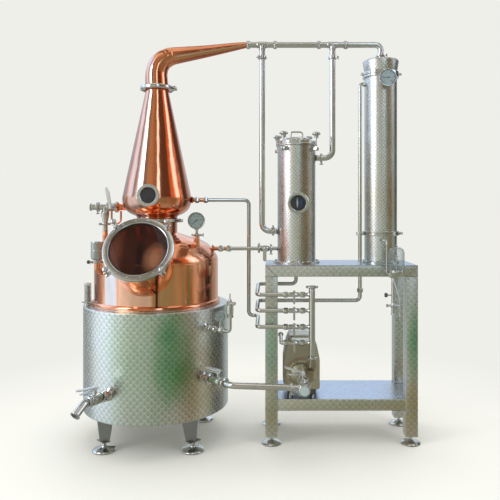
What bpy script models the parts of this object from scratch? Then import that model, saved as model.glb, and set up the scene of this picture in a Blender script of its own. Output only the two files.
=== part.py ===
"""Copper and steel alembic still with botanical column, condenser, pump stand and manifold.

Metres, +Z up, +Y to the rear, -X to the left. The origin is the centre of the footprint at
floor level. Each piece is a closed solid; mating faces are set 0.3 mm apart.
"""
import math

import bpy
import bmesh
from mathutils import Matrix, Quaternion, Vector

X, Y, Z = Vector((1, 0, 0)), Vector((0, 1, 0)), Vector((0, 0, 1))

# ---------------------------------------------------------------- shared dimensions
GAP = 0.0003                         # between mating faces
CLEARANCE = 0.0004                   # round a vessel where a pipe is trimmed to it
STILL_X, STILL_Y = -0.6066, 0.1050   # vertical axis of jacket, pot and helmet
STILL_AXIS = Vector((STILL_X, STILL_Y, 0))
JACKET_R, JACKET_Z0, JACKET_Z1 = 0.459, 0.209, 0.858
POT_R = 0.393
NECK_R, NECK_Z = 0.129, 1.388        # joint between pot and helmet
NECK_FLANGE_R = NECK_R + 0.005
HELMET_TOP_Z = 2.2445
PIPE_R, SMALL_R, THIN_R = 0.0190, 0.0125, 0.0110
HEADER_Y, HEADER_Z = 0.122, 2.535
COLUMN_X, COLUMN_Y, COLUMN_R, COLUMN_TOP = 0.300, 0.122, 0.1235, 1.881
COLUMN_FOOT_R = 0.153
CONDENSER_X, CONDENSER_Y, CONDENSER_R, CONDENSER_TOP = 0.850, 0.122, 0.105, 2.330
CONDENSER_FOOT_R = 0.120
TABLE_Z, SHELF_Z = 1.113, 0.285
TOWER_FOOT_TOP = 1.1250              # top of the foot flanges of column and condenser
TOWER_FLOOR = 1.118                  # inner floor of both
PUMP_X = 0.3224
MANIFOLD_X, MANIFOLD_Y = 0.3836, -0.135
MANIFOLD_Z0 = 0.5533

for ob in list(bpy.data.objects):
    bpy.data.objects.remove(ob, do_unlink=True)

parts = bpy.data.collections.new("alembic_still")
bench = bpy.data.collections.new("cutters")   # holds solids while they are worked on
for collection in (parts, bench):
    bpy.context.scene.collection.children.link(collection)

FINISHES = {
    "copper": dict(colour=(0.78, 0.36, 0.20), metallic=1.0, roughness=0.16),
    "pearl_steel": dict(colour=(0.60, 0.62, 0.58), metallic=1.0, roughness=0.30),
    "steel": dict(colour=(0.66, 0.67, 0.66), metallic=1.0, roughness=0.20),
    "glass": dict(colour=(0.12, 0.14, 0.13), metallic=0.0, roughness=0.05, alpha=0.35),
    "dial": dict(colour=(0.62, 0.68, 0.66), metallic=0.0, roughness=0.35),
    "needle": dict(colour=(0.03, 0.03, 0.03), metallic=0.0, roughness=0.5),
    "khaki": dict(colour=(0.34, 0.33, 0.22), metallic=0.0, roughness=0.5),
}


def new_material(name, colour, metallic, roughness, alpha=1.0):
    mat = bpy.data.materials.new(name)
    mat.use_nodes = True
    inputs = mat.node_tree.nodes["Principled BSDF"].inputs
    inputs["Base Color"].default_value = (*colour, 1.0)
    inputs["Metallic"].default_value = metallic
    inputs["Roughness"].default_value = roughness
    inputs["Alpha"].default_value = alpha
    return mat


# ---------------------------------------------------------------- objects and booleans
def on_bench(data):
    ob = bpy.data.objects.new("work", data)
    bench.objects.link(ob)
    return ob


def move_from_bench(ob, target):
    bench.objects.unlink(ob)
    target.objects.link(ob)


def baked(ob):
    """Replace an object by its evaluated mesh in world space, with loose caps welded."""
    weld = 0.00001
    bpy.context.view_layer.update()
    depsgraph = bpy.context.evaluated_depsgraph_get()
    mesh = bpy.data.meshes.new_from_object(ob.evaluated_get(depsgraph))
    mesh.transform(ob.matrix_world)
    bm = bmesh.new()
    bm.from_mesh(mesh)
    bmesh.ops.remove_doubles(bm, verts=bm.verts, dist=weld)
    bmesh.ops.dissolve_degenerate(bm, edges=bm.edges, dist=weld)
    bm.to_mesh(mesh)
    bm.free()
    bpy.data.objects.remove(ob, do_unlink=True)
    return on_bench(mesh)


def combine(base, others, operation):
    """Boolean of base with all the others, which are used up."""
    operands = bpy.data.collections.new("operands")
    bpy.context.scene.collection.children.link(operands)
    for ob in others:
        move_from_bench(ob, operands)
    boolean = base.modifiers.new("Boolean", "BOOLEAN")
    boolean.operation = operation
    boolean.operand_type = "COLLECTION"
    boolean.collection = operands
    boolean.solver = "EXACT"
    result = baked(base)
    for ob in list(operands.objects):
        bpy.data.objects.remove(ob, do_unlink=True)
    bpy.data.collections.remove(operands)
    return result


def unite(base, *others):
    return combine(base, others, "UNION")


def cut(base, *tools):
    for tool in tools:
        base = combine(base, [tool], "DIFFERENCE")
    return base


def part(name, ob, finish, origin=(0, 0, 0)):
    """Give a finished solid its name, origin, material and shading."""
    mesh = ob.data
    ob.name = mesh.name = name
    mesh.transform(Matrix.Translation(-Vector(origin)))
    ob.location = origin
    mesh.materials.clear()
    mesh.materials.append(new_material(name + "_" + finish, **FINISHES[finish]))
    move_from_bench(ob, parts)
    mesh.shade_smooth()
    mesh.set_sharp_from_angle(angle=math.radians(35))


# ---------------------------------------------------------------- solids
def turned(profile, origin, axis=Z, steps=24, ring=False):
    """Turn (radius, height) points about an axis through origin; a ring closes its profile."""
    edges = [(i, i + 1) for i in range(len(profile) - 1)]
    if ring:
        edges.append((len(profile) - 1, 0))
    mesh = bpy.data.meshes.new("profile")
    mesh.from_pydata([(radius, 0.0, height) for radius, height in profile], edges, [])
    ob = on_bench(mesh)
    screw = ob.modifiers.new("Screw", "SCREW")
    screw.axis = "Z"
    screw.steps = screw.render_steps = steps
    screw.use_merge_vertices = True
    screw.merge_threshold = 0.00005
    screw.use_normal_calculate = False
    rotation = Z.rotation_difference(axis).to_matrix().to_4x4()
    ob.matrix_world = Matrix.Translation(Vector(origin)) @ rotation
    return baked(ob)


def disc(origin, axis, radius, start, end, steps=8):
    """Cylinder between two distances from origin along an axis."""
    return turned([(0, end), (radius, end), (radius, start), (0, start)], origin, axis, steps)


def upright(x, y, radius, z0, z1, steps=8):
    return disc((x, y, 0), Z, radius, z0, z1, steps)


def cone(x, y, radius0, radius1, z0, z1, steps=8):
    """Upright cone frustum."""
    return turned([(0, z1), (radius1, z1), (radius0, z0), (0, z0)], (x, y, 0), Z, steps)


def hoop(origin, axis, bore, radius, start, end, steps):
    profile = [(bore, end), (radius, end), (radius, start), (bore, start)]
    return turned(profile, origin, axis, steps, ring=True)


def clamp(point, axis, radius, half_length, steps=8):
    """Round clamp or body centred on a point of a pipe."""
    return disc(point, axis, radius, -half_length, half_length, steps)


def clamps(start, axis, stations):
    """Clamps on a straight line: (distance from start, radius, half length[, steps])."""
    start = Vector(start)
    return [clamp(start + axis * distance, axis, *size) for distance, *size in stations]


def block(low, high, bevel=0.0, segments=1):
    """Box between two corners, with bevelled edges if asked for."""
    centre = [(a + b) / 2 for a, b in zip(low, high)]
    size = [abs(b - a) for a, b in zip(low, high)]
    mesh = bpy.data.meshes.new("block")
    bm = bmesh.new()
    matrix = Matrix.Translation(centre) @ Matrix.Diagonal((*size, 1.0))
    bmesh.ops.create_cube(bm, size=1.0, matrix=matrix)
    bm.to_mesh(mesh)
    bm.free()
    ob = on_bench(mesh)
    if bevel:
        mod = ob.modifiers.new("Bevel", "BEVEL")
        mod.width, mod.segments, mod.limit_method = bevel, segments, "ANGLE"
        ob = baked(ob)
    return ob


def centred_block(size, centre, frame=None):
    """Box of a size about a centre, given in a frame if there is one."""
    ob = block([c - s / 2 for c, s in zip(centre, size)],
               [c + s / 2 for c, s in zip(centre, size)])
    if frame:
        ob.data.transform(frame)
    return ob


def frame_at(origin, x_axis, z_axis):
    frame = Matrix((x_axis, z_axis.cross(x_axis), z_axis)).transposed().to_4x4()
    frame.translation = Vector(origin)
    return frame


def rounded(points, radius, arc_steps):
    """Polyline with each inner corner replaced by an arc of arc_steps + 1 points."""
    points = [Vector(point) for point in points]
    path = [points[0]]
    for before, corner, after in zip(points, points[1:], points[2:]):
        back, ahead = (before - corner).normalized(), (after - corner).normalized()
        half = back.angle(ahead) / 2
        trim = min(radius / math.tan(half), 0.49 * (before - corner).length,
                   0.49 * (after - corner).length)
        arc_radius = trim * math.tan(half)
        centre = corner + (back + ahead).normalized() * (arc_radius / math.sin(half))
        first = corner + back * trim - centre
        last = corner + ahead * trim - centre
        swing = first.rotation_difference(last)
        for i in range(arc_steps + 1):
            path.append(centre + Quaternion().slerp(swing, i / arc_steps) @ first)
    path.append(points[-1])
    return path


def tube(points, radius, scales=None, resolution=1, closed=False):
    """Round rod along a polyline; scales multiply the radius point by point."""
    curve = bpy.data.curves.new("line", "CURVE")
    curve.dimensions = "3D"
    curve.bevel_depth = radius
    curve.bevel_resolution = resolution
    curve.use_fill_caps = not closed
    spline = curve.splines.new("POLY")
    spline.points.add(len(points) - 1)
    for i, point in enumerate(points):
        spline.points[i].co = (*point, 1.0)
        spline.points[i].radius = scales[i] if scales else 1.0
    spline.use_cyclic_u = closed
    return baked(on_bench(curve))


def pipe(points, radius=PIPE_R, bend=0.045, arc_steps=2):
    return tube(rounded(points, bend, arc_steps), radius)


# ---------------------------------------------------------------- repeated fittings
def polar(degrees, radius, centre=(STILL_X, STILL_Y)):
    """Floor-level point at a bearing from a vertical axis."""
    angle = math.radians(degrees)
    return Vector((centre[0] + radius * math.cos(angle), centre[1] + radius * math.sin(angle), 0))


def reach(direction, distance, z):
    """Point at a horizontal distance from the still's axis."""
    return STILL_AXIS + direction * distance + Z * z


def add_lever(name, pivot, stem, along, length):
    """Hub on the stem with a raised handle blade and a shorter trigger blade in a V."""
    width, thickness, spread, tail = 0.020, 0.003, 0.035, 0.004
    frame = frame_at(pivot, along.normalized(), stem)
    rise = Matrix.Rotation(-math.atan2(spread / 2, length), 4, "Y")
    dip = Matrix.Rotation(math.radians(1.0), 4, "Y")
    hub = disc(pivot, stem, 0.011, 0.0, 0.024, 6)
    handle = centred_block((length, width, thickness), (length / 2 - tail, 0, 0),
                           frame @ Matrix.Translation((0, 0, 0.016)) @ rise)
    trigger = centred_block((length * 0.85, width * 0.8, thickness),
                            (length * 0.425 - tail, 0, 0),
                            frame @ Matrix.Translation((0, 0, 0.008)) @ dip)
    part(name, unite(hub, handle, trigger), "steel", pivot)


def add_band(name, z, bore, radius, lug, screw, knob):
    """Band clamp round the still's axis, its closing screw on the right.

    lug: length, half width, half height; screw: offset, radius, front and back reach;
    knob: radius, length ahead of the screw's front end.
    """
    centre = STILL_AXIS + Z * z
    lug_length, half_y, half_z = lug
    offset, screw_r, front, back = screw
    knob_r, knob_length = knob
    lug_x = centre.x + radius - 0.004
    screw_x = centre.x + offset
    band = unite(
        hoop(centre, Z, bore, radius, -0.014, 0.014, 24),
        block((lug_x, centre.y - half_y, z - half_z),
              (lug_x + lug_length, centre.y + half_y, z + half_z)),
        disc((screw_x, centre.y, z), Y, screw_r, -front, back, 8),
        disc((screw_x, centre.y - front, z), Y, knob_r, -knob_length, 0.002, 10))
    part(name, band, "steel")


def dial_case(centre, radius):
    """Round case facing the front; its rim stands 6 mm proud of the face."""
    rim, face, back = radius - 0.005, -0.006, -0.024
    profile = [(0, face), (rim, face), (rim, 0.0), (radius, -0.001), (radius, back), (0, back)]
    return turned(profile, centre, -Y, 16)


def add_needle(name, centre, pointing, length):
    """Thin pointer between the dial face and the rim."""
    frame = frame_at(centre, Vector(pointing).normalized(), -Y)
    bar = centred_block((length * 1.3, length * 0.09, 0.0014), (length * 0.35, 0, -0.0030), frame)
    part(name, bar, "needle", centre)


# ---------------------------------------------------------------- pot and jacket
# (radius, z) from the neck down to the axis
POT_OUTSIDE = [
    (NECK_R, 1.310), (0.197, 1.287), (0.284, 1.260), (0.328, 1.235), (0.357, 1.203),
    (0.380, 1.172), (POT_R, 1.135), (POT_R, 0.330), (0.362, 0.292), (0.200, 0.264), (0.0, 0.258)]
# (radius, z) from which the wall thickness is taken to give the inner surface
POT_INSIDE = [
    (NECK_R, 1.308), (0.197, 1.284), (0.284, 1.256), (0.357, 1.199), (POT_R, 1.133),
    (POT_R, 0.332), (0.362, 0.295), (0.200, 0.266), (0.0, 0.258)]
POT_WALL = 0.004
BEAD_Z = 0.8584                      # underside of the pot's bead, just above the jacket
DOOR_CENTRE = Vector((STILL_X, -0.418, 1.228))   # centre of the manway joint face
DOOR_TILT = math.radians(32.0)
DOOR_AXIS = Vector((0.0, -math.cos(DOOR_TILT), math.sin(DOOR_TILT)))


def vessel_solid(profile, grow=0.0):
    """Solid about the still's axis, its profile closed to the axis at both ends."""
    points = [(radius + grow if radius > 0 else 0.0, z) for radius, z in profile]
    if points[0][0] > 0:
        points.insert(0, (0.0, points[0][1]))
    if points[-1][0] > 0:
        points.append((0.0, points[-1][1]))
    return turned(points, STILL_AXIS)


def pot_envelope():
    return vessel_solid([(NECK_R + 0.012, 1.42)] + POT_OUTSIDE, CLEARANCE)


def jacket_envelope():
    return upright(STILL_X, STILL_Y, JACKET_R + GAP, 0.2, 0.9, 32)


def inset(profile, wall):
    """Draw a profile in by the wall, and raise the flat part of its floor as much."""
    return [(max(radius - wall, 0.0), z + (wall if radius < 0.30 and z < 0.3 else 0.0))
            for radius, z in profile]


def build_pot():
    """Copper pot with a neck flange, a bead over the jacket and a manway collar."""
    neck = [(NECK_FLANGE_R, NECK_Z), (NECK_FLANGE_R, NECK_Z - 0.008), (NECK_R, NECK_Z - 0.0085)]
    outside = unite(
        vessel_solid(neck + POT_OUTSIDE),
        upright(STILL_X, STILL_Y, 0.402, BEAD_Z, 0.874, 24),
        disc(DOOR_CENTRE, DOOR_AXIS, 0.168, -0.33, -0.004, 20),
        disc(DOOR_CENTRE, DOOR_AXIS, 0.186, -0.012, -GAP, 20))
    inside = unite(
        vessel_solid([(NECK_R - POT_WALL, NECK_Z + 0.02)] + inset(POT_INSIDE, POT_WALL)),
        disc(DOOR_CENTRE, DOOR_AXIS, 0.160, -0.45, 0.05, 20))
    part("copper_pot", cut(outside, inside), "copper")


def leg_prism(foot, degrees):
    """Three-sided leg, wider at the top, turned to its bearing."""
    mesh = bpy.data.meshes.new("leg")
    bm = bmesh.new()
    bmesh.ops.create_cone(
        bm, cap_ends=True, segments=3, radius1=0.046, radius2=0.080, depth=0.157,
        matrix=Matrix.Translation((foot.x, foot.y, 0.1335))
        @ Matrix.Rotation(math.radians(degrees), 4, "Z"))
    bm.to_mesh(mesh)
    bm.free()
    return on_bench(mesh)


def build_jacket():
    """Cup with a flat rim reaching in to the pot, on four legs with screw feet."""
    wall = 0.005
    inner_r, floor, ceiling = JACKET_R - wall, JACKET_Z0 + wall, JACKET_Z1 - wall
    lip_r = POT_R + 0.0030
    cup = turned([(0, floor), (inner_r, floor), (inner_r, ceiling), (lip_r, ceiling),
                  (lip_r, JACKET_Z1), (JACKET_R, JACKET_Z1), (JACKET_R, JACKET_Z0),
                  (0, JACKET_Z0)], STILL_AXIS, Z, 32)
    legs = []
    for degrees in (45, 135, 225, 315):
        foot = polar(degrees, 0.378)
        legs += [leg_prism(foot, degrees),
                 upright(foot.x, foot.y, 0.012, 0.015, 0.070),
                 cone(foot.x, foot.y, 0.070, 0.034, 0.0, 0.020, 20)]
    part("jacket_shell", unite(cup, *legs), "pearl_steel")


# ---------------------------------------------------------------- helmet and neck band
# (radius, z) of the cone and bulge, downwards
HELMET_SURFACE = [
    (0.076, 2.215), (0.2165, 1.555), (0.221, 1.528), (0.218, 1.500), (0.205, 1.466),
    (0.180, 1.440), (0.150, 1.424), (NECK_R, 1.412)]
HELMET_INSIDE = [
    (0.072, 2.27), (0.072, 2.215), (0.2120, 1.555), (0.2145, 1.510), (0.199, 1.470),
    (0.146, 1.428), (NECK_R - 0.004, 1.412), (NECK_R - 0.004, 1.37)]
TOP_FLANGE_R = 0.094                 # flanges of helmet and swan neck


def helmet_envelope():
    return vessel_solid([(TOP_FLANGE_R, HELMET_TOP_Z)] + HELMET_SURFACE, CLEARANCE)


def build_helmet():
    """Bulge and long straight cone, with a glazed sight port on the front."""
    port = Vector((STILL_X, -0.166, 1.543))
    top = [(TOP_FLANGE_R, HELMET_TOP_Z), (TOP_FLANGE_R, 2.236), (0.076, 2.2355)]
    joint = [(NECK_R, 1.3975), (NECK_FLANGE_R, 1.397), (NECK_FLANGE_R, NECK_Z + GAP)]
    outside = unite(vessel_solid(top + HELMET_SURFACE + joint),
                    disc(port, -Y, 0.055, -0.11, 0.0, 16),
                    disc(port, -Y, 0.064, -0.010, 0.0, 16))
    inside = unite(vessel_solid(HELMET_INSIDE), disc(port, -Y, 0.047, -0.16, 0.02, 16))
    part("helmet", cut(outside, inside), "copper")
    part("helmet_sight_ring", hoop(port, -Y, 0.0475, 0.068, GAP, 0.016, 20), "steel")
    part("helmet_sight_glass", disc(port, -Y, 0.0470, 0.001, 0.009, 20), "glass")


def build_neck_clamp():
    add_band("neck_clamp", NECK_Z, NECK_R + 0.0056, 0.147, lug=(0.025, 0.020, 0.011),
             screw=(0.158, 0.006, 0.050, 0.036), knob=(0.013, 0.016))


# ---------------------------------------------------------------- manway
def build_manway():
    """Door ring with four lugs, its round glass and four swing knobs."""
    up = DOOR_AXIS.cross(X)
    lugs = []
    for k in range(4):
        angle = math.radians(45 + 90 * k)
        outward = X * math.cos(angle) + up * math.sin(angle)
        lugs.append(centred_block((0.034, 0.030, 0.013), (0.212, 0, 0.0095),
                                  frame_at(DOOR_CENTRE, outward, DOOR_AXIS)))
        pivot = DOOR_CENTRE + outward * 0.214 + DOOR_AXIS * 0.0235
        grip = [(0, 0.0536), (0.0165, 0.042), (0.0165, 0.028), (0, 0.018)]
        knob = unite(clamp(pivot, DOOR_AXIS.cross(outward), 0.0065, 0.008),
                     disc(pivot, DOOR_AXIS, 0.0045, 0.0, 0.030, 6),
                     turned(grip, pivot, DOOR_AXIS, 8))
        part("manway_knob_%d" % (k + 1), knob, "steel", pivot)
    ring = hoop(DOOR_CENTRE, DOOR_AXIS, 0.165, 0.200, GAP, 0.022, 28)
    part("manway_door", unite(ring, *lugs), "steel", DOOR_CENTRE)
    glass = disc(DOOR_CENTRE, DOOR_AXIS, 0.1640, 0.004, 0.012, 28)
    part("manway_glass", glass, "glass", DOOR_CENTRE)


# ---------------------------------------------------------------- fittings round the still
BRANCH_Z, BRANCH_DROP_X, BRANCH_STEM_X = 1.475, -0.945, -0.895


def build_side_branch():
    """Pipe to the left of the helmet with a reducer down to the pot's shoulder."""
    run = pipe([(STILL_X - 0.12, STILL_Y, BRANCH_Z), (-1.042, STILL_Y, BRANCH_Z)])
    drop = unite(cone(BRANCH_DROP_X, STILL_Y, 0.016, 0.026, 1.355, 1.46),
                 upright(BRANCH_DROP_X, STILL_Y, 0.016, 1.17, 1.357))
    on_run = [(BRANCH_DROP_X, 0.0255, 0.022), (-0.868, 0.033, 0.010), (-0.900, 0.026, 0.020),
              (-0.916, 0.030, 0.005), (-0.992, 0.030, 0.009), (-1.038, 0.0255, 0.004)]
    on_drop = [(1.365, 0.029, 0.010), (1.265, 0.020, 0.006)]
    branch = unite(
        run, drop,
        *clamps((0, STILL_Y, BRANCH_Z), X, on_run),
        *clamps((BRANCH_DROP_X, STILL_Y, 0), Z, on_drop),
        disc((BRANCH_STEM_X, STILL_Y - 0.005, BRANCH_Z), -Y, 0.009, 0.0, 0.0427))
    part("side_branch", cut(branch, helmet_envelope(), pot_envelope()), "steel")
    add_lever("side_branch_lever", (BRANCH_STEM_X, STILL_Y - 0.048, BRANCH_Z), -Y,
              Vector((-0.16, 0, 0.987)), 0.135)


def build_fill_port():
    """Open canister on the left shoulder, its pipe bending in to the pot."""
    x, y = -0.893, -0.240
    foot_z, clamp_z = 1.085, 1.146
    inward = Vector((STILL_X - x, STILL_Y - y, 0)).normalized() * 0.10
    port = unite(
        turned([(0, 1.180), (0.033, 1.180), (0.033, 1.266), (0.0375, 1.266), (0.0375, 1.164),
                (0, 1.164)], (x, y, 0), Z, 12),
        pipe([(x, y, 1.170), (x, y, foot_z), (x + inward.x, y + inward.y, foot_z)],
             0.017, 0.030),
        clamp((x, y, clamp_z), Z, 0.030, 0.009),
        disc((x - 0.025, y, clamp_z), -X, 0.005, 0, 0.02),
        disc((x - 0.045, y, clamp_z), -X, 0.011, -0.002, 0.014, 10))
    part("fill_port", cut(port, pot_envelope()), "steel")


def build_vent_cup():
    """Open cup standing on the jacket's rim, at the left."""
    floor, top, bore, radius = 0.870, 0.995, 0.0185, 0.0215
    cup = turned([(0, floor), (bore, floor), (bore, top), (radius, top), (radius, BEAD_Z),
                  (0, BEAD_Z)], polar(198.0, 0.4305), Z, 16)
    part("vent_cup", cup, "glass")


def build_pot_thermometer():
    """Dial on an upright stem in the right shoulder of the pot."""
    centre = Vector((-0.328, -0.078, 1.389))
    stem_y = -0.058
    body = unite(
        dial_case(centre, 0.0535),
        upright(centre.x, stem_y, 0.010, 1.18, 1.345),
        *clamps((centre.x, stem_y, 0), Z, [(1.300, 0.028, 0.009), (1.272, 0.018, 0.022)]))
    part("pot_thermometer", cut(body, pot_envelope()), "dial")
    add_needle("pot_needle", centre, (-0.8, 0, -0.55), 0.036)


RELIEF_DIR = Vector((0.759, -0.651, 0))
RELIEF_Z, GAUGE_REACH, GAUGE_BOSS = 0.751, 0.585, 0.020


def build_relief_line():
    """Line out of the jacket's front right, turning up to a valve with a pull ring."""
    corner = reach(RELIEF_DIR, 0.665, RELIEF_Z)
    x, y = corner.x, corner.y
    ring_centre, ring_r = Vector((x, y - 0.012, 0.905)), 0.019
    ring = [ring_centre + Vector((ring_r * math.cos(i * math.pi / 6), 0,
                                  ring_r * math.sin(i * math.pi / 6))) for i in range(12)]
    line = unite(
        pipe([reach(RELIEF_DIR, 0.44, RELIEF_Z), corner, corner + Z * 0.110], 0.011, 0.025),
        *clamps(reach(RELIEF_DIR, 0, RELIEF_Z), RELIEF_DIR,
                [(0.476, 0.022, 0.006), (0.530, 0.018, 0.011)]),
        disc(reach(RELIEF_DIR, GAUGE_REACH, RELIEF_Z), Z, 0.013, -0.014, GAUGE_BOSS, 10),
        upright(x, y, 0.020, 0.845, 0.905, 12),
        disc((x, y, 0.917), RELIEF_DIR, 0.009, -0.020, 0.034, 10),
        upright(x, y, 0.011, 0.90, 0.940, 10),
        upright(x, y, 0.004, 0.935, 0.972),
        tube(ring, 0.0022, closed=True))
    part("relief_line", cut(line, jacket_envelope()), "steel")


def build_jacket_gauge():
    """Gauge standing on the boss of the relief line."""
    foot = reach(RELIEF_DIR, GAUGE_REACH, 0)
    centre = Vector((foot.x, foot.y - 0.012, 0.832))
    gauge = unite(dial_case(centre, 0.0315),
                  upright(foot.x, foot.y, 0.006, RELIEF_Z + GAUGE_BOSS + GAP, 0.815),
                  upright(foot.x, foot.y, 0.009, 0.776, 0.790, 6))
    part("jacket_gauge", gauge, "dial")
    add_needle("gauge_needle", centre, (-0.7, 0, -0.7), 0.021)


def build_drain():
    """Valve at the front left of the jacket, with a downturned spout and a lever."""
    direction = Vector((-0.447, -0.894, 0)).normalized()
    z, valve = 0.3845, 0.560
    bend, spout = reach(direction, 0.645, z), reach(direction, 0.712, 0.338)
    valve_centre = reach(direction, valve, z)
    drain = unite(
        pipe([reach(direction, 0.44, z), bend, spout], 0.0225, 0.03),
        *clamps(reach(direction, 0, z), direction,
                [(0.468, 0.038, 0.008), (0.506, 0.034, 0.010), (0.614, 0.034, 0.010)]),
        disc(valve_centre, direction, 0.031, -0.0283, 0.0287, 10),
        disc(valve_centre, Z, 0.010, 0.0063, 0.050, 6),
        disc(spout, (spout - bend).normalized(), 0.0285, -0.006, 0.0025, 12))
    part("drain_valve", cut(drain, jacket_envelope()), "steel")
    add_lever("drain_lever", reach(direction, valve, 0.4350), Z, direction, 0.150)


def build_transfer():
    """Outlet valve at the jacket's front right and the line to the pump, with two levers."""
    direction = Vector((0.741, -0.672, 0)).normalized()
    valve, pump_valve_y = 0.585, -0.270
    tee = Vector((PUMP_X, -0.3654, 0.440))
    # distance from the still's axis, z, radius, half length[, steps]
    stations = [(0.468, 0.4545, 0.034, 0.007), (0.508, 0.4545, 0.032, 0.009),
                (valve, 0.4540, 0.029, 0.026, 9), (0.635, 0.4535, 0.032, 0.009)]
    to_pump = [(-0.322, 0.030, 0.008), (pump_valve_y, 0.028, 0.026, 9), (-0.218, 0.030, 0.008)]
    transfer = unite(
        pipe([reach(direction, 0.44, 0.4545), reach(direction, 0.700, 0.4530), tee], PIPE_R, 0.05),
        pipe([(tee.x, tee.y - 0.050, tee.z), (tee.x, -0.1659, tee.z)]),
        *[clamp(reach(direction, distance, z), direction, *size)
          for distance, z, *size in stations],
        disc(reach(direction, valve, 0.4540), Z, 0.009, 0.0, 0.046),
        clamp((0.250, tee.y, 0.4418), X, 0.030, 0.009),
        disc(tee, X, 0.0225, -0.036, 0.022, 12),
        disc((tee.x, tee.y - 0.055, tee.z), -Y, 0.033, -0.008, 0.009, 12),
        *clamps((tee.x, 0, tee.z), Y, to_pump),
        disc((tee.x, pump_valve_y, tee.z), Z, 0.009, 0.0, 0.044))
    part("transfer_pipe", cut(transfer, jacket_envelope()), "steel")
    add_lever("transfer_lever", reach(direction, valve, 0.5004), Z, -direction, 0.110)
    add_lever("pump_inlet_lever", Vector((tee.x, pump_valve_y, 0.4844)), Z, -X, 0.115)


# ---------------------------------------------------------------- vapour path
SWAN_END_X = -0.0150
SWAN_END_Z = HEADER_Z - 0.0015
# x, y, z and outer radius from the helmet's top to the header
SWAN_PATH = [
    (STILL_X, STILL_Y, 2.2449, 0.0745),
    (STILL_X, STILL_Y, 2.262, 0.0742),
    (STILL_X - 0.004, STILL_Y, 2.300, 0.073),
    (STILL_X - 0.004, STILL_Y, 2.345, 0.071),
    (STILL_X + 0.009, STILL_Y, 2.392, 0.068),
    (STILL_X + 0.036, STILL_Y, 2.427, 0.064),
    (STILL_X + 0.070, STILL_Y, 2.447, 0.060),
    (STILL_X + 0.105, STILL_Y + 0.001, 2.458, 0.0555),
    (-0.0350, HEADER_Y, SWAN_END_Z, 0.0197),
    (SWAN_END_X, HEADER_Y, SWAN_END_Z, PIPE_R)]
HEADER_X0, HEADER_X1 = SWAN_END_X + GAP, 0.6200
TEE_XS = (0.0757, 0.5354)
TEE_Z = 2.4520                       # lower face of the header's tees


def swept(path, wall=0.0):
    return tube([row[:3] for row in path], 1.0, [row[3] - wall for row in path], resolution=4)


def build_swan_neck():
    """Tapering copper neck, bored through, and the band at its foot."""
    solid = unite(swept(SWAN_PATH),
                  upright(STILL_X, STILL_Y, TOP_FLANGE_R, HELMET_TOP_Z + GAP, 2.254, 24),
                  disc((SWAN_END_X, HEADER_Y, HEADER_Z), X, 0.026, -0.007, 0.0, 10))
    bore = swept([(STILL_X, STILL_Y, 2.200, 0.0745)] + SWAN_PATH
                 + [(0.020, HEADER_Y, SWAN_END_Z, PIPE_R)], wall=0.003)
    part("swan_neck", cut(solid, bore), "copper")
    add_band("swan_neck_clamp", 2.245, 0.0946, 0.108, lug=(0.022, 0.018, 0.010),
             screw=(0.117, 0.005, 0.046, 0.030), knob=(0.012, 0.014))


def build_header():
    """Horizontal pipe with two tees facing down."""
    header = [pipe([(HEADER_X0, HEADER_Y, HEADER_Z), (HEADER_X1, HEADER_Y, HEADER_Z)])]
    header += clamps((0, HEADER_Y, HEADER_Z), X,
                     [(HEADER_X0 + 0.004, 0.027, 0.0039), (0.1600, 0.027, 0.008),
                      (0.4470, 0.027, 0.008), (HEADER_X1 - 0.004, 0.027, 0.0039)])
    for x in TEE_XS:
        header += [clamp((x, HEADER_Y, HEADER_Z), X, 0.0225, 0.033, 10),
                   upright(x, HEADER_Y, PIPE_R, TEE_Z, HEADER_Z),
                   upright(x, HEADER_Y, 0.026, TEE_Z, 2.462, 9)]
    part("vapour_header", unite(*header), "steel")


def build_condenser_elbow():
    x0, bottom = HEADER_X1 + GAP, 2.4650
    elbow = unite(
        pipe([(x0, HEADER_Y, HEADER_Z), (CONDENSER_X, HEADER_Y, HEADER_Z),
              (CONDENSER_X, HEADER_Y, bottom)], PIPE_R, 0.06, 4),
        clamp((x0 + 0.004, HEADER_Y, HEADER_Z), X, 0.027, 0.004),
        upright(CONDENSER_X, HEADER_Y, 0.0265, bottom, 2.474, 9))
    part("condenser_elbow", elbow, "steel")


def tower_envelope(x, y, radius, top, foot_radius):
    return unite(upright(x, y, radius + CLEARANCE, 1.1, top, 24),
                 upright(x, y, foot_radius + CLEARANCE, TABLE_Z + 0.0001,
                         TOWER_FOOT_TOP + CLEARANCE, 24))


def column_envelope():
    return tower_envelope(COLUMN_X, COLUMN_Y, COLUMN_R, 1.9, COLUMN_FOOT_R)


def condenser_envelope():
    return tower_envelope(CONDENSER_X, CONDENSER_Y, CONDENSER_R, 2.34, CONDENSER_FOOT_R)


def add_basket_pipe(name, x, z, end_x, clamp_x):
    """Pipe down from a header tee and across into the column."""
    top = TEE_Z - GAP
    line = unite(
        pipe([(x, HEADER_Y, top), (x, HEADER_Y, z), (end_x, HEADER_Y, z)], PIPE_R, 0.050),
        upright(x, HEADER_Y, 0.026, TEE_Z - 0.010, top, 9),
        clamp((clamp_x, HEADER_Y, z), X, 0.027, 0.009))
    part(name, cut(line, column_envelope()), "steel")


def build_basket_pipes():
    add_basket_pipe("basket_inlet_pipe", TEE_XS[0], 1.319, COLUMN_X - 0.10, 0.147)
    add_basket_pipe("basket_outlet_pipe", TEE_XS[1], 1.796, COLUMN_X + 0.10, 0.462)


# ---------------------------------------------------------------- botanical column
COLUMN_BASE = (COLUMN_X, COLUMN_Y, 0)
COLUMN_RIM = (COLUMN_X, COLUMN_Y, COLUMN_TOP)    # origin of lid and basket
COLUMN_FLANGE_R = 0.134
LID_ANGLES = (-35.0, 55.0, 145.0, 235.0)
LID_PIVOT_R, LID_PIVOT_Z = 0.150, 1.8475


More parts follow.
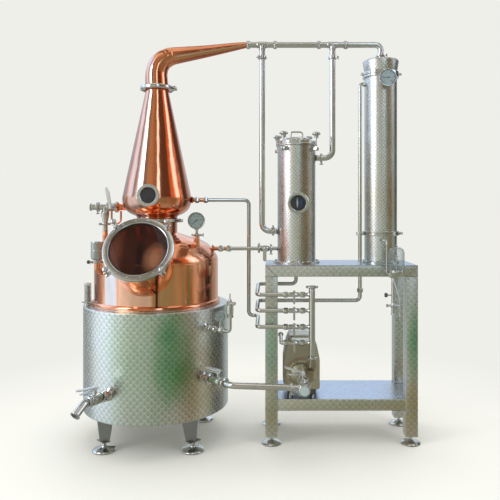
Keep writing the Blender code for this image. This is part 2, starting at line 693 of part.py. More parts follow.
def lid_frame(degrees):
    """Frame on the column's axis whose X points at a lid clamp."""
    return Matrix.Translation(COLUMN_BASE) @ Matrix.Rotation(math.radians(degrees), 4, "Z")


def build_column():
    """Hollow column with clamp ears, a bolted foot and a sight port on the front."""
    port = Vector((0.306, -0.018, 1.500))
    foot_z = TABLE_Z + GAP
    shell = turned([(0, COLUMN_TOP), (COLUMN_FLANGE_R, COLUMN_TOP),
                    (COLUMN_FLANGE_R, COLUMN_TOP - 0.010), (COLUMN_R, COLUMN_TOP - 0.0105),
                    (COLUMN_R, TOWER_FOOT_TOP), (COLUMN_FOOT_R, TOWER_FOOT_TOP),
                    (COLUMN_FOOT_R, foot_z), (0, foot_z)], COLUMN_BASE)
    ears = [centred_block((0.042, 0.005, 0.024), (0.141, side * 0.0112, LID_PIVOT_Z),
                          lid_frame(degrees))
            for degrees in LID_ANGLES for side in (-1, 1)]
    bolts = [disc(polar(30 + 60 * k, 0.139, COLUMN_BASE), Z, 0.007, 1.120, 1.133, 6)
             for k in range(6)]
    outside = unite(shell, disc(port, -Y, 0.060, -0.07, 0.0, 16),
                    disc(port, -Y, 0.0675, -0.012, 0.0, 16), *ears, *bolts)
    inside = unite(
        upright(COLUMN_X, COLUMN_Y, COLUMN_R - 0.003, TOWER_FLOOR, COLUMN_TOP + 0.02, 24),
        disc(port, -Y, 0.049, -0.10, 0.02, 16))
    part("basket_column", cut(outside, inside), "pearl_steel")
    part("column_sight_glass", disc(port, -Y, 0.0485, -0.010, -0.003, 16), "glass")


def column_handle(half_width, z0, z1, radius, bend):
    """Hoop handle across the column's axis, along X."""
    left, right = COLUMN_X - half_width, COLUMN_X + half_width
    return pipe([(left, COLUMN_Y, z0), (left, COLUMN_Y, z1), (right, COLUMN_Y, z1),
                 (right, COLUMN_Y, z0)], radius, bend)


def build_column_lid():
    joint_z = COLUMN_TOP + GAP
    lid = turned([(0, 1.930), (0.060, 1.928), (0.092, 1.916), (0.100, 1.9005),
                  (COLUMN_FLANGE_R, 1.900), (COLUMN_FLANGE_R, joint_z), (0, joint_z)],
                 COLUMN_BASE)
    handle = column_handle(0.038, 1.920, 1.966, 0.006, 0.014)
    part("column_lid", unite(lid, handle), "steel", COLUMN_RIM)


def build_basket():
    """Open basket with a bail, hanging inside the column."""
    bore, radius, bottom, floor, top = 0.108, 0.111, 1.400, 1.404, 1.860
    basket = turned([(0, floor), (bore, floor), (bore, top), (radius, top), (radius, bottom),
                     (0, bottom)], COLUMN_BASE)
    bail = column_handle(0.1095, 1.850, 1.8765, 0.0040, 0.010)
    part("botanical_basket", unite(basket, bail), "steel", COLUMN_RIM)


def build_lid_clamps():
    """Swing bolt with a knob between each pair of ears."""
    nut = [(0, 0.107), (0.010, 0.103), (0.0150, 0.094), (0.0145, 0.068), (0, 0.068)]
    for k, degrees in enumerate(LID_ANGLES):
        frame = lid_frame(degrees)
        pivot = frame @ Vector((LID_PIVOT_R, 0, LID_PIVOT_Z))
        swing_bolt = unite(clamp(pivot, frame.to_3x3() @ Y, 0.0072, 0.0080),
                           disc(pivot, Z, 0.0045, 0.0, 0.075, 6),
                           turned(nut, pivot, Z, 8))
        part("lid_clamp_%d" % (k + 1), swing_bolt, "steel", pivot)


# ---------------------------------------------------------------- condenser
CONDENSER_BASE = (CONDENSER_X, CONDENSER_Y, 0)
CONDENSER_FLANGE_R = 0.117


def build_condenser_shell():
    """Hollow tower with a top flange, a lower band and a foot flange."""
    radius, flange, foot = CONDENSER_R, CONDENSER_FLANGE_R, CONDENSER_FOOT_R
    foot_z = TABLE_Z + GAP
    tower = turned([(0, CONDENSER_TOP), (flange, CONDENSER_TOP), (flange, CONDENSER_TOP - 0.016),
                    (radius, CONDENSER_TOP - 0.0165), (radius, 1.320), (flange, 1.3195),
                    (flange, 1.290), (radius, 1.2895), (radius, TOWER_FOOT_TOP),
                    (foot, TOWER_FOOT_TOP), (foot, foot_z), (0, foot_z)], CONDENSER_BASE)
    knob = disc((CONDENSER_X + 0.112, CONDENSER_Y - 0.02, 1.305), X, 0.009, 0.0, 0.030)
    bore = upright(CONDENSER_X, CONDENSER_Y, radius - 0.003, TOWER_FLOOR,
                   CONDENSER_TOP + 0.02, 24)
    part("condenser_shell", cut(unite(tower, knob), bore), "pearl_steel")


def build_condenser_cap():
    """Hollow domed cap with a spigot on top and a stub at each side."""
    joint_z, spigot_z, spigot_r = CONDENSER_TOP + GAP, 2.4647, 0.0265
    cap = turned([(0, spigot_z), (spigot_r, spigot_z), (spigot_r, 2.444), (0.060, 2.440),
                  (0.1165, 2.420), (CONDENSER_R, 2.352), (CONDENSER_FLANGE_R, 2.3515),
                  (CONDENSER_FLANGE_R, joint_z), (0, joint_z)], CONDENSER_BASE)
    inside = turned([(0, 2.50), (0.016, 2.50), (0.016, 2.437), (0.112, 2.414), (0.1015, 2.352),
                     (0.1015, 2.30), (0, 2.30)], CONDENSER_BASE)
    stubs = [disc((CONDENSER_X + side * 0.112, CONDENSER_Y - 0.01, 2.341), side * X,
                  0.0085, 0.0, 0.024) for side in (-1, 1)]
    part("condenser_cap", cut(unite(cap, *stubs), inside), "pearl_steel")


def build_condenser_coil():
    """Helix with a straight tail down to the floor of the shell."""
    radius, bottom, rise = 0.070, 1.180, 1.040
    turns, points_per_turn = 6, 8
    count = turns * points_per_turn
    helix = [Vector((CONDENSER_X + radius, CONDENSER_Y, 1.1185))]
    for i in range(count + 1):
        angle = 2 * math.pi * i / points_per_turn
        helix.append(Vector((CONDENSER_X + radius * math.cos(angle),
                             CONDENSER_Y + radius * math.sin(angle),
                             bottom + rise * i / count)))
    part("condenser_coil", tube(helix, 0.008, resolution=0), "copper")


def build_condenser_thermometer():
    centre = Vector((0.868, -0.034, 2.288))
    stem_start = (centre.x, 0, centre.z)
    body = unite(dial_case(centre, 0.054),
                 disc(stem_start, Y, 0.009, -0.020, 0.050),
                 disc(stem_start, Y, 0.014, -0.008, 0.006, 6))
    part("condenser_thermometer", cut(body, condenser_envelope()), "dial")
    add_needle("condenser_needle", centre, (-1.0, 0, -0.05), 0.036)


# ---------------------------------------------------------------- stand and pump
STAND_X0, STAND_X1, STAND_Y0, STAND_Y1 = 0.0986, 1.0421, -0.086, 0.330
RAIL = 0.077                         # width of posts and rails
PLATE = 0.004                        # thickness of table top and shelf
BASKET_WATER_Y = 0.190               # where the basket water pipe rises
FEED_X, FEED_Y = 0.712, 0.100        # where the condenser feed pipe rises


def build_stand():
    """Hollow table top and shelf on four posts with round feet; two pipe holes in the top."""
    x0, x1, y0, y1 = STAND_X0, STAND_X1, STAND_Y0, STAND_Y1
    lip, inset_by = 0.02, 0.003
    table = cut(block((x0, y0, TABLE_Z - 0.071), (x1, y1, TABLE_Z)),
                block((x0 + RAIL, y0 + lip, TABLE_Z - 0.10),
                      (x1 - RAIL, y1 - lip, TABLE_Z - PLATE)))
    shelf = cut(block((x0 + inset_by, y0 + inset_by, SHELF_Z - 0.069),
                      (x1 - inset_by, y1 - inset_by, SHELF_Z)),
                block((x0 + RAIL, y0 + RAIL, SHELF_Z - 0.10),
                      (x1 - RAIL, y1 - RAIL, SHELF_Z - PLATE)))
    foot = [(0, 0.024), (0.030, 0.022), (0.062, 0.008), (0.062, 0.0), (0, 0.0)]
    posts = []
    for post_x in (x0, x1 - RAIL):
        for post_y in (y0, y1 - RAIL):
            x, y = post_x + RAIL / 2, post_y + RAIL / 2
            posts += [block((post_x, post_y, 0.050),
                            (post_x + RAIL, post_y + RAIL, TABLE_Z - 0.010)),
                      upright(x, y, 0.011, 0.018, 0.060),
                      turned(foot, (x, y, 0), Z, 12)]
    holes = [upright(x, y, 0.0150, 1.0, 1.2, 12)
             for x, y in ((COLUMN_X, BASKET_WATER_Y), (FEED_X, FEED_Y))]
    part("stand_frame", cut(unite(table, shelf, *posts), *holes), "pearl_steel")


def build_pump_motor():
    """Rounded cover with a hood, on two pads."""
    cover = block((0.213, -0.045, 0.315), (0.440, 0.215, 0.666), 0.030, 2)
    hood = block((0.245, -0.020, 0.650), (0.372, 0.120, 0.702), 0.006, 1)
    pads = [block((x - 0.018, -0.030, SHELF_Z + GAP), (x + 0.018, 0.190, 0.330))
            for x in (0.255, 0.398)]
    part("pump_motor", unite(cover, hood, *pads), "khaki")


def build_pump_head():
    """Turned head on the motor's front, its inlet ahead and its outlet up at the right."""
    inlet_z = 0.440
    head = turned([(0, 0.000), (0.086, 0.000), (0.093, -0.006), (0.093, -0.034),
                   (0.078, -0.046), (0.050, -0.060), (0.024, -0.064), (0.024, -0.100),
                   (0, -0.100)], (PUMP_X, -0.0453, 0.434), Y, 20)
    head = unite(
        head,
        clamp((PUMP_X, -0.1605, inlet_z), Y, 0.029, 0.005),
        disc((PUMP_X, -0.1655, inlet_z), Y, 0.019, 0.0, 0.04, 9),
        pipe([(MANIFOLD_X, -0.075, 0.470), (MANIFOLD_X, -0.100, 0.490),
              (MANIFOLD_X, MANIFOLD_Y, 0.510)], 0.018, 0.02),
        cone(MANIFOLD_X, MANIFOLD_Y, 0.024, PIPE_R, 0.500, 0.5450),
        upright(MANIFOLD_X, MANIFOLD_Y, 0.027, 0.5430, MANIFOLD_Z0 - GAP, 9))
    part("pump_head", head, "steel")


# ---------------------------------------------------------------- valve manifold
ROW_Z = (0.9386, 0.8411, 0.7425, 0.6450)   # valve rows, from the top
VALVE_X = 0.274
JOINT_X = 0.2123                     # right end of the water pipes
LEFT_X = 0.049                       # where the water pipes turn to the rear


def build_manifold():
    """Upright pipe with four valved rows to the left; the lowest row turns to the rear."""
    x, y = MANIFOLD_X, MANIFOLD_Y
    solids = [upright(x, y, PIPE_R, MANIFOLD_Z0, 0.9860),
              upright(x, y, 0.027, MANIFOLD_Z0, 0.5633, 9),
              upright(x, y, 0.038, 0.9780, 0.9930, 10)]
    for z in ROW_Z:
        solids += [disc((0.0, y, z), X, THIN_R, JOINT_X + GAP, x, 6),
                   *clamps((0, y, z), X, [(0.3264, 0.0180, 0.010), (0.2206, 0.0180, 0.008)]),
                   centred_block((0.046, 0.026, 0.028), (VALVE_X, y, z)),
                   disc((VALVE_X, y, z), -Y, 0.006, 0.010, 0.0300, 6)]
    turn_x, z = 0.1960, ROW_Z[3]
    end = (turn_x, 0.060, z + 0.010)
    solids += [pipe([(0.2140, y, z), (turn_x, y, z), end], THIN_R, 0.016),
               clamp(end, Y, 0.0175, 0.005)]
    part("valve_manifold", unite(*solids), "steel")


def build_manifold_levers():
    for k, z in enumerate(ROW_Z):
        pivot = Vector((VALVE_X, MANIFOLD_Y - 0.0303, z))
        hub = disc(pivot, -Y, 0.008, 0.0, 0.008, 6)
        bar = centred_block((0.013, 0.0025, 0.085), (VALVE_X, pivot.y - 0.0045, z - 0.0125))
        part("manifold_lever_%d" % (k + 1), unite(hub, bar), "steel", pivot)


def water_pipe(row, points, bend=0.028):
    """Solids of a pipe from a manifold row to LEFT_X and on through the points."""
    y, z = MANIFOLD_Y, ROW_Z[row]
    return [pipe([(JOINT_X, y, z), (LEFT_X, y, z)] + points, SMALL_R, bend),
            *clamps((0, y, z), X, [(JOINT_X - 0.006, 0.0180, 0.006), (0.135, 0.0175, 0.008)])]


def build_basket_water_pipe():
    y, z = BASKET_WATER_Y, 0.966
    solids = water_pipe(0, [(LEFT_X, y, z), (COLUMN_X, y, z), (COLUMN_X, y, TABLE_Z)])
    part("basket_water_pipe", unite(*solids), "steel")


def build_condenser_feed_pipe():
    z, top = 0.869, 2.275
    solids = water_pipe(1, [(LEFT_X, FEED_Y, z), (FEED_X, FEED_Y, z), (FEED_X, FEED_Y, top),
                            (CONDENSER_X, CONDENSER_Y, top)])
    solids.append(clamp((FEED_X, FEED_Y, 0.935), Z, 0.0200, 0.010))
    part("condenser_feed_pipe", cut(unite(*solids), condenser_envelope()), "steel")


def build_helmet_spray_pipe():
    """Pipe that rises between still and stand and enters the helmet from the right."""
    x, y, low, high = -0.0135, 0.175, 0.759, 1.522
    end = Vector((STILL_X + 0.15, STILL_Y, high))
    outward = Vector((x - end.x, y - STILL_Y, 0)).normalized()
    solids = water_pipe(2, [(LEFT_X, y, low), (x, y, low), (x, y, high), end], bend=0.026)
    solids += clamps(end, outward, [(0.108, 0.0210, 0.010), (0.165, 0.0210, 0.010)])
    part("helmet_spray_pipe", cut(unite(*solids), helmet_envelope()), "steel")


def build_return_line():
    """Line from the pot's shoulder to the column's foot, with a paddle valve."""
    z, valve_x = 1.205, 0.0930
    start, end = Vector((-0.330, STILL_Y, z)), Vector((COLUMN_X - 0.09, COLUMN_Y, z))
    direction = (end - start).normalized()

    def at(x):
        return start + direction * ((x - start.x) / direction.x)

    # x, radius, half length[, steps]
    stations = [(-0.193, 0.0200, 0.010), (-0.141, 0.0200, 0.010), (0.055, 0.0240, 0.008),
                (0.1335, 0.0240, 0.008), (valve_x, 0.0200, 0.030, 10)]
    line = unite(tube([start, end], SMALL_R),
                 *[clamp(at(x), direction, *size) for x, *size in stations],
                 disc(at(valve_x), -Y, 0.008, 0.0, 0.0340))
    part("return_line", cut(line, pot_envelope(), column_envelope()), "steel")
    pivot = at(valve_x) - Y * 0.0343
    paddle = centred_block((0.024, 0.003, 0.105), (pivot.x, pivot.y - 0.006, pivot.z - 0.030))
    part("return_lever", unite(disc(pivot, -Y, 0.010, 0.0, 0.010), paddle), "steel", pivot)


# ---------------------------------------------------------------- spirit parrot
GLASS_X, PARROT_Y = 0.897, -0.142
PARROT_X = 0.876                     # axis of the hanging tube


def build_parrot_body():
    """Dish on a block with a hanging tube, two side stubs, a thin pipe and a feed pipe."""
    x, y = PARROT_X, PARROT_Y
    stub_z, knob_z = 0.873, 0.937
    thin_r, thin_x, thin_y = 0.0055, x + 0.036, y - 0.034
    feed_x, feed_z, feed_low = 0.838, 1.265, 1.060
    body = unite(
        upright(GLASS_X, y, 0.0470, 1.0750, 1.0860, 12),
        block((x - 0.026, y - 0.020, 1.043), (x + 0.026, y + 0.020, 1.077), 0.004),
        upright(x, y, 0.0110, 0.816, 1.050),
        upright(x, y, 0.0150, 0.858, 0.888),
        disc((x, y, stub_z), -X, 0.0060, 0.0, 0.040),
        disc((x - 0.046, y, knob_z), -X, 0.014, -0.012, 0.006, 10),
        disc((x, y, knob_z), -X, 0.0050, 0.0, 0.045),
        pipe([(x - 0.004, y - 0.010, 1.045), (thin_x, thin_y, 0.905), (thin_x, thin_y, 0.810)],
             thin_r, 0.02),
        pipe([(thin_x, thin_y, 0.880), (x, y, stub_z)], thin_r, 0.02),
        pipe([(feed_x, 0.060, feed_z), (feed_x, y, feed_z), (feed_x, y, feed_low),
              (x, y, feed_low)], 0.0060, 0.018))
    part("parrot_body", cut(body, condenser_envelope()), "steel")


def build_parrot_glass():
    """Glass dome, open below: (radius, z) down the outside and back up the inside."""
    dome = turned([(0, 1.2300), (0.032, 1.2240), (0.0450, 1.2095), (0.0490, 1.190),
                   (0.0490, 1.0863), (0.0455, 1.0863), (0.0455, 1.188), (0.042, 1.2060),
                   (0.030, 1.2200), (0, 1.2260)], (GLASS_X, PARROT_Y, 0), Z, 12)
    part("parrot_glass", dome, "glass")


for build in (
        build_pot, build_jacket, build_helmet, build_neck_clamp, build_manway,
        build_side_branch, build_fill_port, build_vent_cup, build_pot_thermometer,
        build_relief_line, build_jacket_gauge, build_drain, build_transfer,
        build_swan_neck, build_header, build_condenser_elbow, build_basket_pipes,
        build_column, build_column_lid, build_basket, build_lid_clamps,
        build_condenser_shell, build_condenser_cap, build_condenser_coil,
        build_condenser_thermometer, build_stand, build_pump_motor, build_pump_head,
        build_manifold, build_manifold_levers, build_basket_water_pipe,
        build_condenser_feed_pipe, build_helmet_spray_pipe, build_return_line,
        build_parrot_body, build_parrot_glass):
    build()
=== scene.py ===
"""Copper pot still with a botanical column, a condenser, a pump and a spirit parrot.

Metres, +Z up, floor at z = 0. The jacketed pot stands at -X; the stand, with the column,
pump and condenser, is at +X. The manway, dials and levers face the front, -Y.
"""
import math

import bpy
import bmesh
from mathutils import Matrix, Quaternion, Vector


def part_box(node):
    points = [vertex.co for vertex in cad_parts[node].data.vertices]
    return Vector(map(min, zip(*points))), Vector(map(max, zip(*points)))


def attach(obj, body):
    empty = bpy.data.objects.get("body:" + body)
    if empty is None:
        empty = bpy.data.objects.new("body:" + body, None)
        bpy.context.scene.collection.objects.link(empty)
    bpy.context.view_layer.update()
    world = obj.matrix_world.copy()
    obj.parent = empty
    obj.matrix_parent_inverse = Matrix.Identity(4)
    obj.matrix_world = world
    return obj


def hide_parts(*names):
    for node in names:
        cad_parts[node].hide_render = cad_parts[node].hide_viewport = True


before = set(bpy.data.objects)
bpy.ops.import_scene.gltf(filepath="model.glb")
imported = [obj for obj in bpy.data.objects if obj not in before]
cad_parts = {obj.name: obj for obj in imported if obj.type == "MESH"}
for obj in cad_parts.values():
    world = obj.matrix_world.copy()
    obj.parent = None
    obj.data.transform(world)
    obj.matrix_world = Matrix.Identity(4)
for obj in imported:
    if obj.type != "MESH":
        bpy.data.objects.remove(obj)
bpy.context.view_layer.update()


X, Y, Z = Vector((1, 0, 0)), Vector((0, 1, 0)), Vector((0, 0, 1))
ROOT = "still_body"


def mid(node):
    low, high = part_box(node)
    return (Vector(low) + Vector(high)) / 2


# ------------------------------------------------------------ places read from the frame
JACKET_LOW, JACKET_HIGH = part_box("jacket_shell")
JACKET_TOP = JACKET_HIGH[2]
JACKET_RADIUS = (JACKET_HIGH[0] - JACKET_LOW[0]) / 2
# vertical axes, as points on the floor
POT = Vector((mid("jacket_shell").x, mid("jacket_shell").y, 0))
COLUMN = Vector((mid("column_lid").x, mid("column_lid").y, 0))
CONDENSER = Vector((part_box("condenser_elbow")[1][0] - 0.0265, mid("condenser_elbow").y, 0))
FOOT_REACH = 0.0235  # how far the feet stand out beyond the stand's sides
STAND_LOW, STAND_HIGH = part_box("stand_frame")
LEFT, RIGHT = STAND_LOW[0] + FOOT_REACH, STAND_HIGH[0] - FOOT_REACH
FRONT, BACK = STAND_LOW[1] + FOOT_REACH, STAND_HIGH[1] - FOOT_REACH
STAND_TOP = STAND_HIGH[2]


# ------------------------------------------------------------ shader building
def operator(kind, swapped=False):
    def apply(self, other):
        pair = (other, self) if swapped else (self, other)
        return self.shader.math(kind, *pair)
    return apply


class Value:
    """An output socket; arithmetic on it adds Math nodes."""

    def __init__(self, shader, socket):
        self.shader, self.socket = shader, socket

    __add__, __radd__ = operator("ADD"), operator("ADD", True)
    __sub__, __rsub__ = operator("SUBTRACT"), operator("SUBTRACT", True)
    __mul__, __truediv__ = operator("MULTIPLY"), operator("DIVIDE")


def clamp(value):
    """Clamps the Math node behind a value to 0..1."""
    value.socket.node.use_clamp = True
    return value


def scaled(colour, factor):
    return tuple(min(1.0, c * factor) for c in colour)


class Shader:
    """Builds one node tree. An input may be a Value, an RGB tuple or a plain value."""

    def __init__(self, block, surface="Principled BSDF", coordinates="Object"):
        block.use_nodes = True
        self.block = block
        self.nodes = block.node_tree.nodes
        self.surface = self.nodes[surface]
        coords = self.nodes.new("ShaderNodeTexCoord")
        self.position = Value(self, coords.outputs[coordinates])

    def feed(self, socket, value):
        if isinstance(value, Value):
            self.block.node_tree.links.new(value.socket, socket)
        elif isinstance(value, tuple):
            socket.default_value = (*value, 1.0)
        else:
            socket.default_value = value

    def node(self, kind, inputs, output=0, **settings):
        node = self.nodes.new(kind)
        for name, value in settings.items():
            setattr(node, name, value)
        for key, value in inputs.items():
            self.feed(node.inputs[key], value)
        return Value(self, node.outputs[output])

    def set(self, name, value):
        self.feed(self.surface.inputs[name], value)

    def math(self, kind, *inputs):
        return self.node("ShaderNodeMath", dict(enumerate(inputs)), operation=kind)

    def noise(self, scale, detail=3.0, rough=0.5, stretch=None):
        where = self.position
        if stretch:
            where = self.node("ShaderNodeMapping", {"Scale": Vector(stretch), "Vector": where})
        return self.node("ShaderNodeTexNoise", {
            "Scale": scale, "Detail": detail, "Roughness": rough, "Vector": where}, "Fac")

    def wander(self, amount, **noise):
        """Noise centred on zero."""
        return (self.noise(**noise) - 0.5) * amount

    def separate(self, vector):
        first = self.node("ShaderNodeSeparateXYZ", {0: vector})
        return [Value(self, socket) for socket in first.socket.node.outputs]

    def ramp(self, factor, stops):
        """stops: (position, colour)"""
        colour = self.node("ShaderNodeValToRGB", {"Fac": factor}, "Color")
        elements = colour.socket.node.color_ramp.elements
        while len(elements) < len(stops):
            elements.new(0.5)
        for element, (position, rgb) in zip(elements, stops):
            element.position = position
            element.color = (*rgb, 1.0)
        return colour

    def remap(self, value, low, high):
        return self.node("ShaderNodeMapRange", {"To Min": low, "To Max": high, "Value": value})

    def mix(self, factor, first, second, mode="MIX"):
        return self.node("ShaderNodeMix", {0: factor, 6: first, 7: second}, 2,
                         data_type="RGBA", blend_type=mode)

    def bump(self, height, strength, distance):
        self.set("Normal", self.node("ShaderNodeBump", {
            "Strength": strength, "Distance": distance, "Height": height}, "Normal"))


def between(value, low, high, soft):
    """1 between low and high, fading to 0 over `soft` inside each end."""
    return clamp((value - low) / soft) * clamp((high - value) / soft)


# ------------------------------------------------------------ material recipes
# line of the tapering neck, from where it leaves the bend: height, radius, change per metre
NECK_START, NECK_HEIGHT, NECK_RISE = 0.105, 2.458, 0.164
NECK_RADIUS, NECK_TAPER = 0.0555, 0.0778


def copper(name, bands=(), top=1.150, streaks=()):
    """bands: painted reflections of the room, as vertical stripes below `top`; streaks: painted
    highlights and reflections, as stripes along the neck.
    Both are (from, to, soft edge, colour, strength)."""
    shader = Shader(bpy.data.materials.new(name))
    cloud = shader.noise(scale=3.2, rough=0.55, stretch=(1.0, 1.0, 0.35))
    fine = shader.noise(scale=26.0, detail=4.0, rough=0.6, stretch=(1.0, 1.0, 0.5))
    colour = shader.ramp(cloud, [(0.20, (0.62, 0.205, 0.090)), (0.48, (0.86, 0.345, 0.175)),
                                 (0.75, (0.97, 0.500, 0.315))])
    colour = shader.mix(fine * 0.22, colour, (0.40, 0.13, 0.06))
    if bands:
        # degrees round the pot's axis, 0 at the front
        x, y, z = shader.separate(shader.position)
        turned = shader.math("DEGREES", shader.math("ARCTAN2", x - POT.x, POT.y - y))
        turned = turned + shader.wander(2.2, scale=4.0, detail=2.0)
        # the bands paint bright and dark reflections as stripes of colour round the axis
        for low, high, soft, tint, strength in bands:
            mask = between(turned, low, high, soft) * clamp((top - z) / 0.04)
            colour = shader.mix(mask * strength, colour, tint)
    if streaks:
        # height above the neck's own axis, as a share of its radius there
        x, y, z = shader.separate(shader.position)
        run = x - (POT.x + NECK_START)
        axis_height = NECK_HEIGHT + run * NECK_RISE
        radius = NECK_RADIUS - run * NECK_TAPER
        share = (z - axis_height) / radius
        share = share + shader.wander(0.16, scale=6.0, detail=2.0, stretch=(0.5, 1, 1))
        # the streaks paint bright highlights and dark reflections along the neck
        for low, high, soft, tint, strength in streaks:
            mask = between(share, low, high, soft) * clamp(run / 0.05)
            colour = shader.mix(mask * strength, colour, tint)
    shader.set("Base Color", colour)
    shader.set("Metallic", 1.0)
    polish = shader.noise(scale=11.0, detail=4.0, rough=0.6, stretch=(1.0, 1.0, 0.4))
    shader.set("Roughness", shader.remap(polish, low=0.04, high=0.20))
    dents = shader.noise(scale=5.5, detail=2.0, stretch=(1, 1, 0.6))
    ripples = shader.noise(scale=17.0, rough=0.55, stretch=(1, 1, 0.4))
    shader.bump(dents * 0.7 + ripples * 0.12, strength=0.42, distance=0.018)
    return shader.block


def steel(name, tint=(0.63, 0.625, 0.58), rough=(0.08, 0.24)):
    shader = Shader(bpy.data.materials.new(name))
    cloud = shader.noise(scale=9.0)
    shader.set("Base Color", shader.mix(cloud, scaled(tint, 0.80), scaled(tint, 1.16)))
    shader.set("Metallic", 1.0)
    polish = shader.noise(scale=60.0, detail=4.0, rough=0.6, stretch=(1, 1, 6))
    shader.set("Roughness", shader.remap(polish, *rough))
    brushing = shader.noise(scale=220.0, detail=2.0, stretch=(1, 1, 8))
    shader.bump(brushing, strength=0.06, distance=0.001)
    return shader.block


def pearl(name, pitch, painted_reflections, base, relief, contrast=1.0):
    """Engine-turned sheet: staggered rows of overlapping discs with a concentric grain; each
    disc has a painted sheen and painted highlight lines along its edge.
    painted_reflections: painted reflections of the room, (x, front of y, z, half width, half
    height, colour, strength)"""
    shader = Shader(bpy.data.materials.new(name))
    flat = shader.node("ShaderNodeUVMap", {}, "UV", uv_map="flat")
    across, along, _ = shader.separate(flat)
    row_step = 0.5  # row spacing as a share of the pitch
    across = across / pitch
    along = along / (pitch * row_step)
    first_row = shader.math("FLOOR", along)

    def disc(row):
        """Distance from the disc's centre, offset across and along, and a seed."""
        stagger = shader.math("PINGPONG", row, 1.0) * 0.5
        sideways = shader.math("FRACT", across + stagger) - 0.5
        upward = (along - row) * row_step
        distance = shader.math("SQRT", sideways * sideways + upward * upward)
        seed = shader.math("FLOOR", across + stagger) + row * 17.31
        return distance, sideways, upward, seed

    upper, lower = disc(first_row + 1.0), disc(first_row)
    covered = shader.math("LESS_THAN", upper[0], 0.5)
    distance, sideways, upward, seed = (
        shader.node("ShaderNodeMix", {0: covered, 2: under, 3: over}, data_type="FLOAT")
        for under, over in zip(lower, upper))
    chance = shader.node("ShaderNodeTexWhiteNoise", {"W": seed}, "Value",
                         noise_dimensions="1D")
    # painted light on each disc: sheen brightens it along one direction, rim draws the real disc
    # edges as painted highlight lines
    angle = shader.math("ARCTAN2", upward, sideways)
    sheen = shader.math("COSINE", angle * 2.0 + (chance - 0.5) * 1.2) * 0.5 + 0.5
    rim = shader.math("POWER", shader.math("MINIMUM", distance, 0.5) * 2.0, 5.0)
    shade = clamp(0.14 + sheen * 0.26 + rim * 0.62)
    colour = shader.mix(shade, scaled(base, 1.0 - 0.25 * contrast),
                        scaled(base, 1.0 + 0.75 * contrast))
    cloud = shader.noise(scale=1.7, detail=2.0)
    tint = shader.ramp(cloud, [(0.30, (0.84, 0.90, 0.82)), (0.52, (1.0, 1.0, 0.97)),
                               (0.74, (0.95, 0.88, 0.76))])
    colour = shader.mix(1.0, colour, tint, "MULTIPLY")
    # painted reflections of the room, as tinted areas on the front of the sheet
    for centre_x, limit_y, centre_z, wide, tall, tint, strength in painted_reflections:
        x, y, z = shader.separate(shader.position)
        from_x = (x - centre_x) / wide
        from_z = (z - centre_z) / tall
        reach = from_x * from_x + from_z * from_z + shader.wander(1.2, scale=4.0, detail=2.0)
        front = shader.math("LESS_THAN", y, limit_y)
        mask = clamp(1.0 - reach) * front * strength
        colour = shader.mix(mask, colour, shader.mix(1.0, colour, tint, "MULTIPLY"))
    shader.set("Base Color", colour)
    shader.set("Metallic", 1.0)
    shader.set("Roughness", shader.remap(sheen * 0.6 + chance * 0.4, low=0.24, high=0.40))
    grain = shader.math("SINE", distance * 95.0) * 0.02
    shader.bump(grain + (sheen * 0.10 - rim * 0.16) * 1.0, relief, distance=pitch * 0.070)
    return shader.block


def glass(name, tint, clear, edge=0.0, painted_light=()):
    """edge: extra body at grazing angles. painted_light: painted highlights, reflections and
    shade on the pane, standing also for shapes seen dimly through it, (x, z, half width, half
    height, colour, strength)"""
    shader = Shader(bpy.data.materials.new(name))
    haze = shader.noise(scale=7.0, rough=0.6)
    colour = shader.mix(haze, tint, scaled(tint, 1.9))
    # each entry paints a patch of light or shade into the pane's colour
    for centre_x, centre_z, wide, tall, seen, strength in painted_light:
        x, y, z = shader.separate(shader.position)
        from_x = (x - centre_x) / wide
        from_z = (z - centre_z) / tall
        reach = shader.math("SQRT", from_x * from_x + from_z * from_z)
        reach = reach + shader.wander(0.5, scale=14.0, rough=0.6)
        colour = shader.mix(clamp(1.25 - reach) * strength, colour, seen)
    shader.set("Base Color", colour)
    shader.set("Roughness", shader.remap(haze, low=0.02, high=0.09))
    shader.set("IOR", 1.5)
    shader.set("Coat Weight", 1.0)
    shader.set("Coat Roughness", 0.02)
    body = shader.remap(haze, low=1.0 - clear - 0.08, high=1.0 - clear + 0.08)
    if edge:
        facing = shader.node("ShaderNodeLayerWeight", {"Blend": 0.35}, "Facing")
        body = clamp(body + facing * edge)
    shader.set("Alpha", body)
    shader.bump(shader.noise(scale=3.0, detail=1.0), strength=0.05, distance=0.004)
    shader.block.blend_method = "BLEND"
    return shader.block


def paint(name, colour, rough, grain=180.0, bump=0.12, coat=0.0):
    shader = Shader(bpy.data.materials.new(name))
    cloud = shader.noise(scale=14.0, detail=4.0, rough=0.6)
    shader.set("Base Color", shader.mix(cloud, scaled(colour, 0.72), scaled(colour, 1.25)))
    shader.set("Roughness", shader.remap(shader.noise(scale=40.0), low=rough * 0.8,
                                         high=min(1.0, rough * 1.25)))
    shader.set("Coat Weight", coat)
    shader.bump(shader.noise(scale=grain, rough=0.6), strength=bump, distance=0.001)
    return shader.block


# ------------------------------------------------------------ painted reflections, highlights and shade
# (x, front of y, z, half width, half height, colour, strength): painted reflections of the room
# on the steel
# jacket: pale and green painted reflections, and a warm one to the right
JACKET_REFLECTIONS = [
    (POT.x + 0.03, POT.y, 0.60, 0.30, 0.42, (0.76, 0.92, 0.76), 0.8),
    (POT.x + 0.180, POT.y, 0.60, 0.125, 0.34, (0.28, 0.70, 0.40), 0.88),
    (POT.x + 0.31, POT.y, 0.40, 0.15, 0.42, (0.80, 0.66, 0.48), 0.75)]
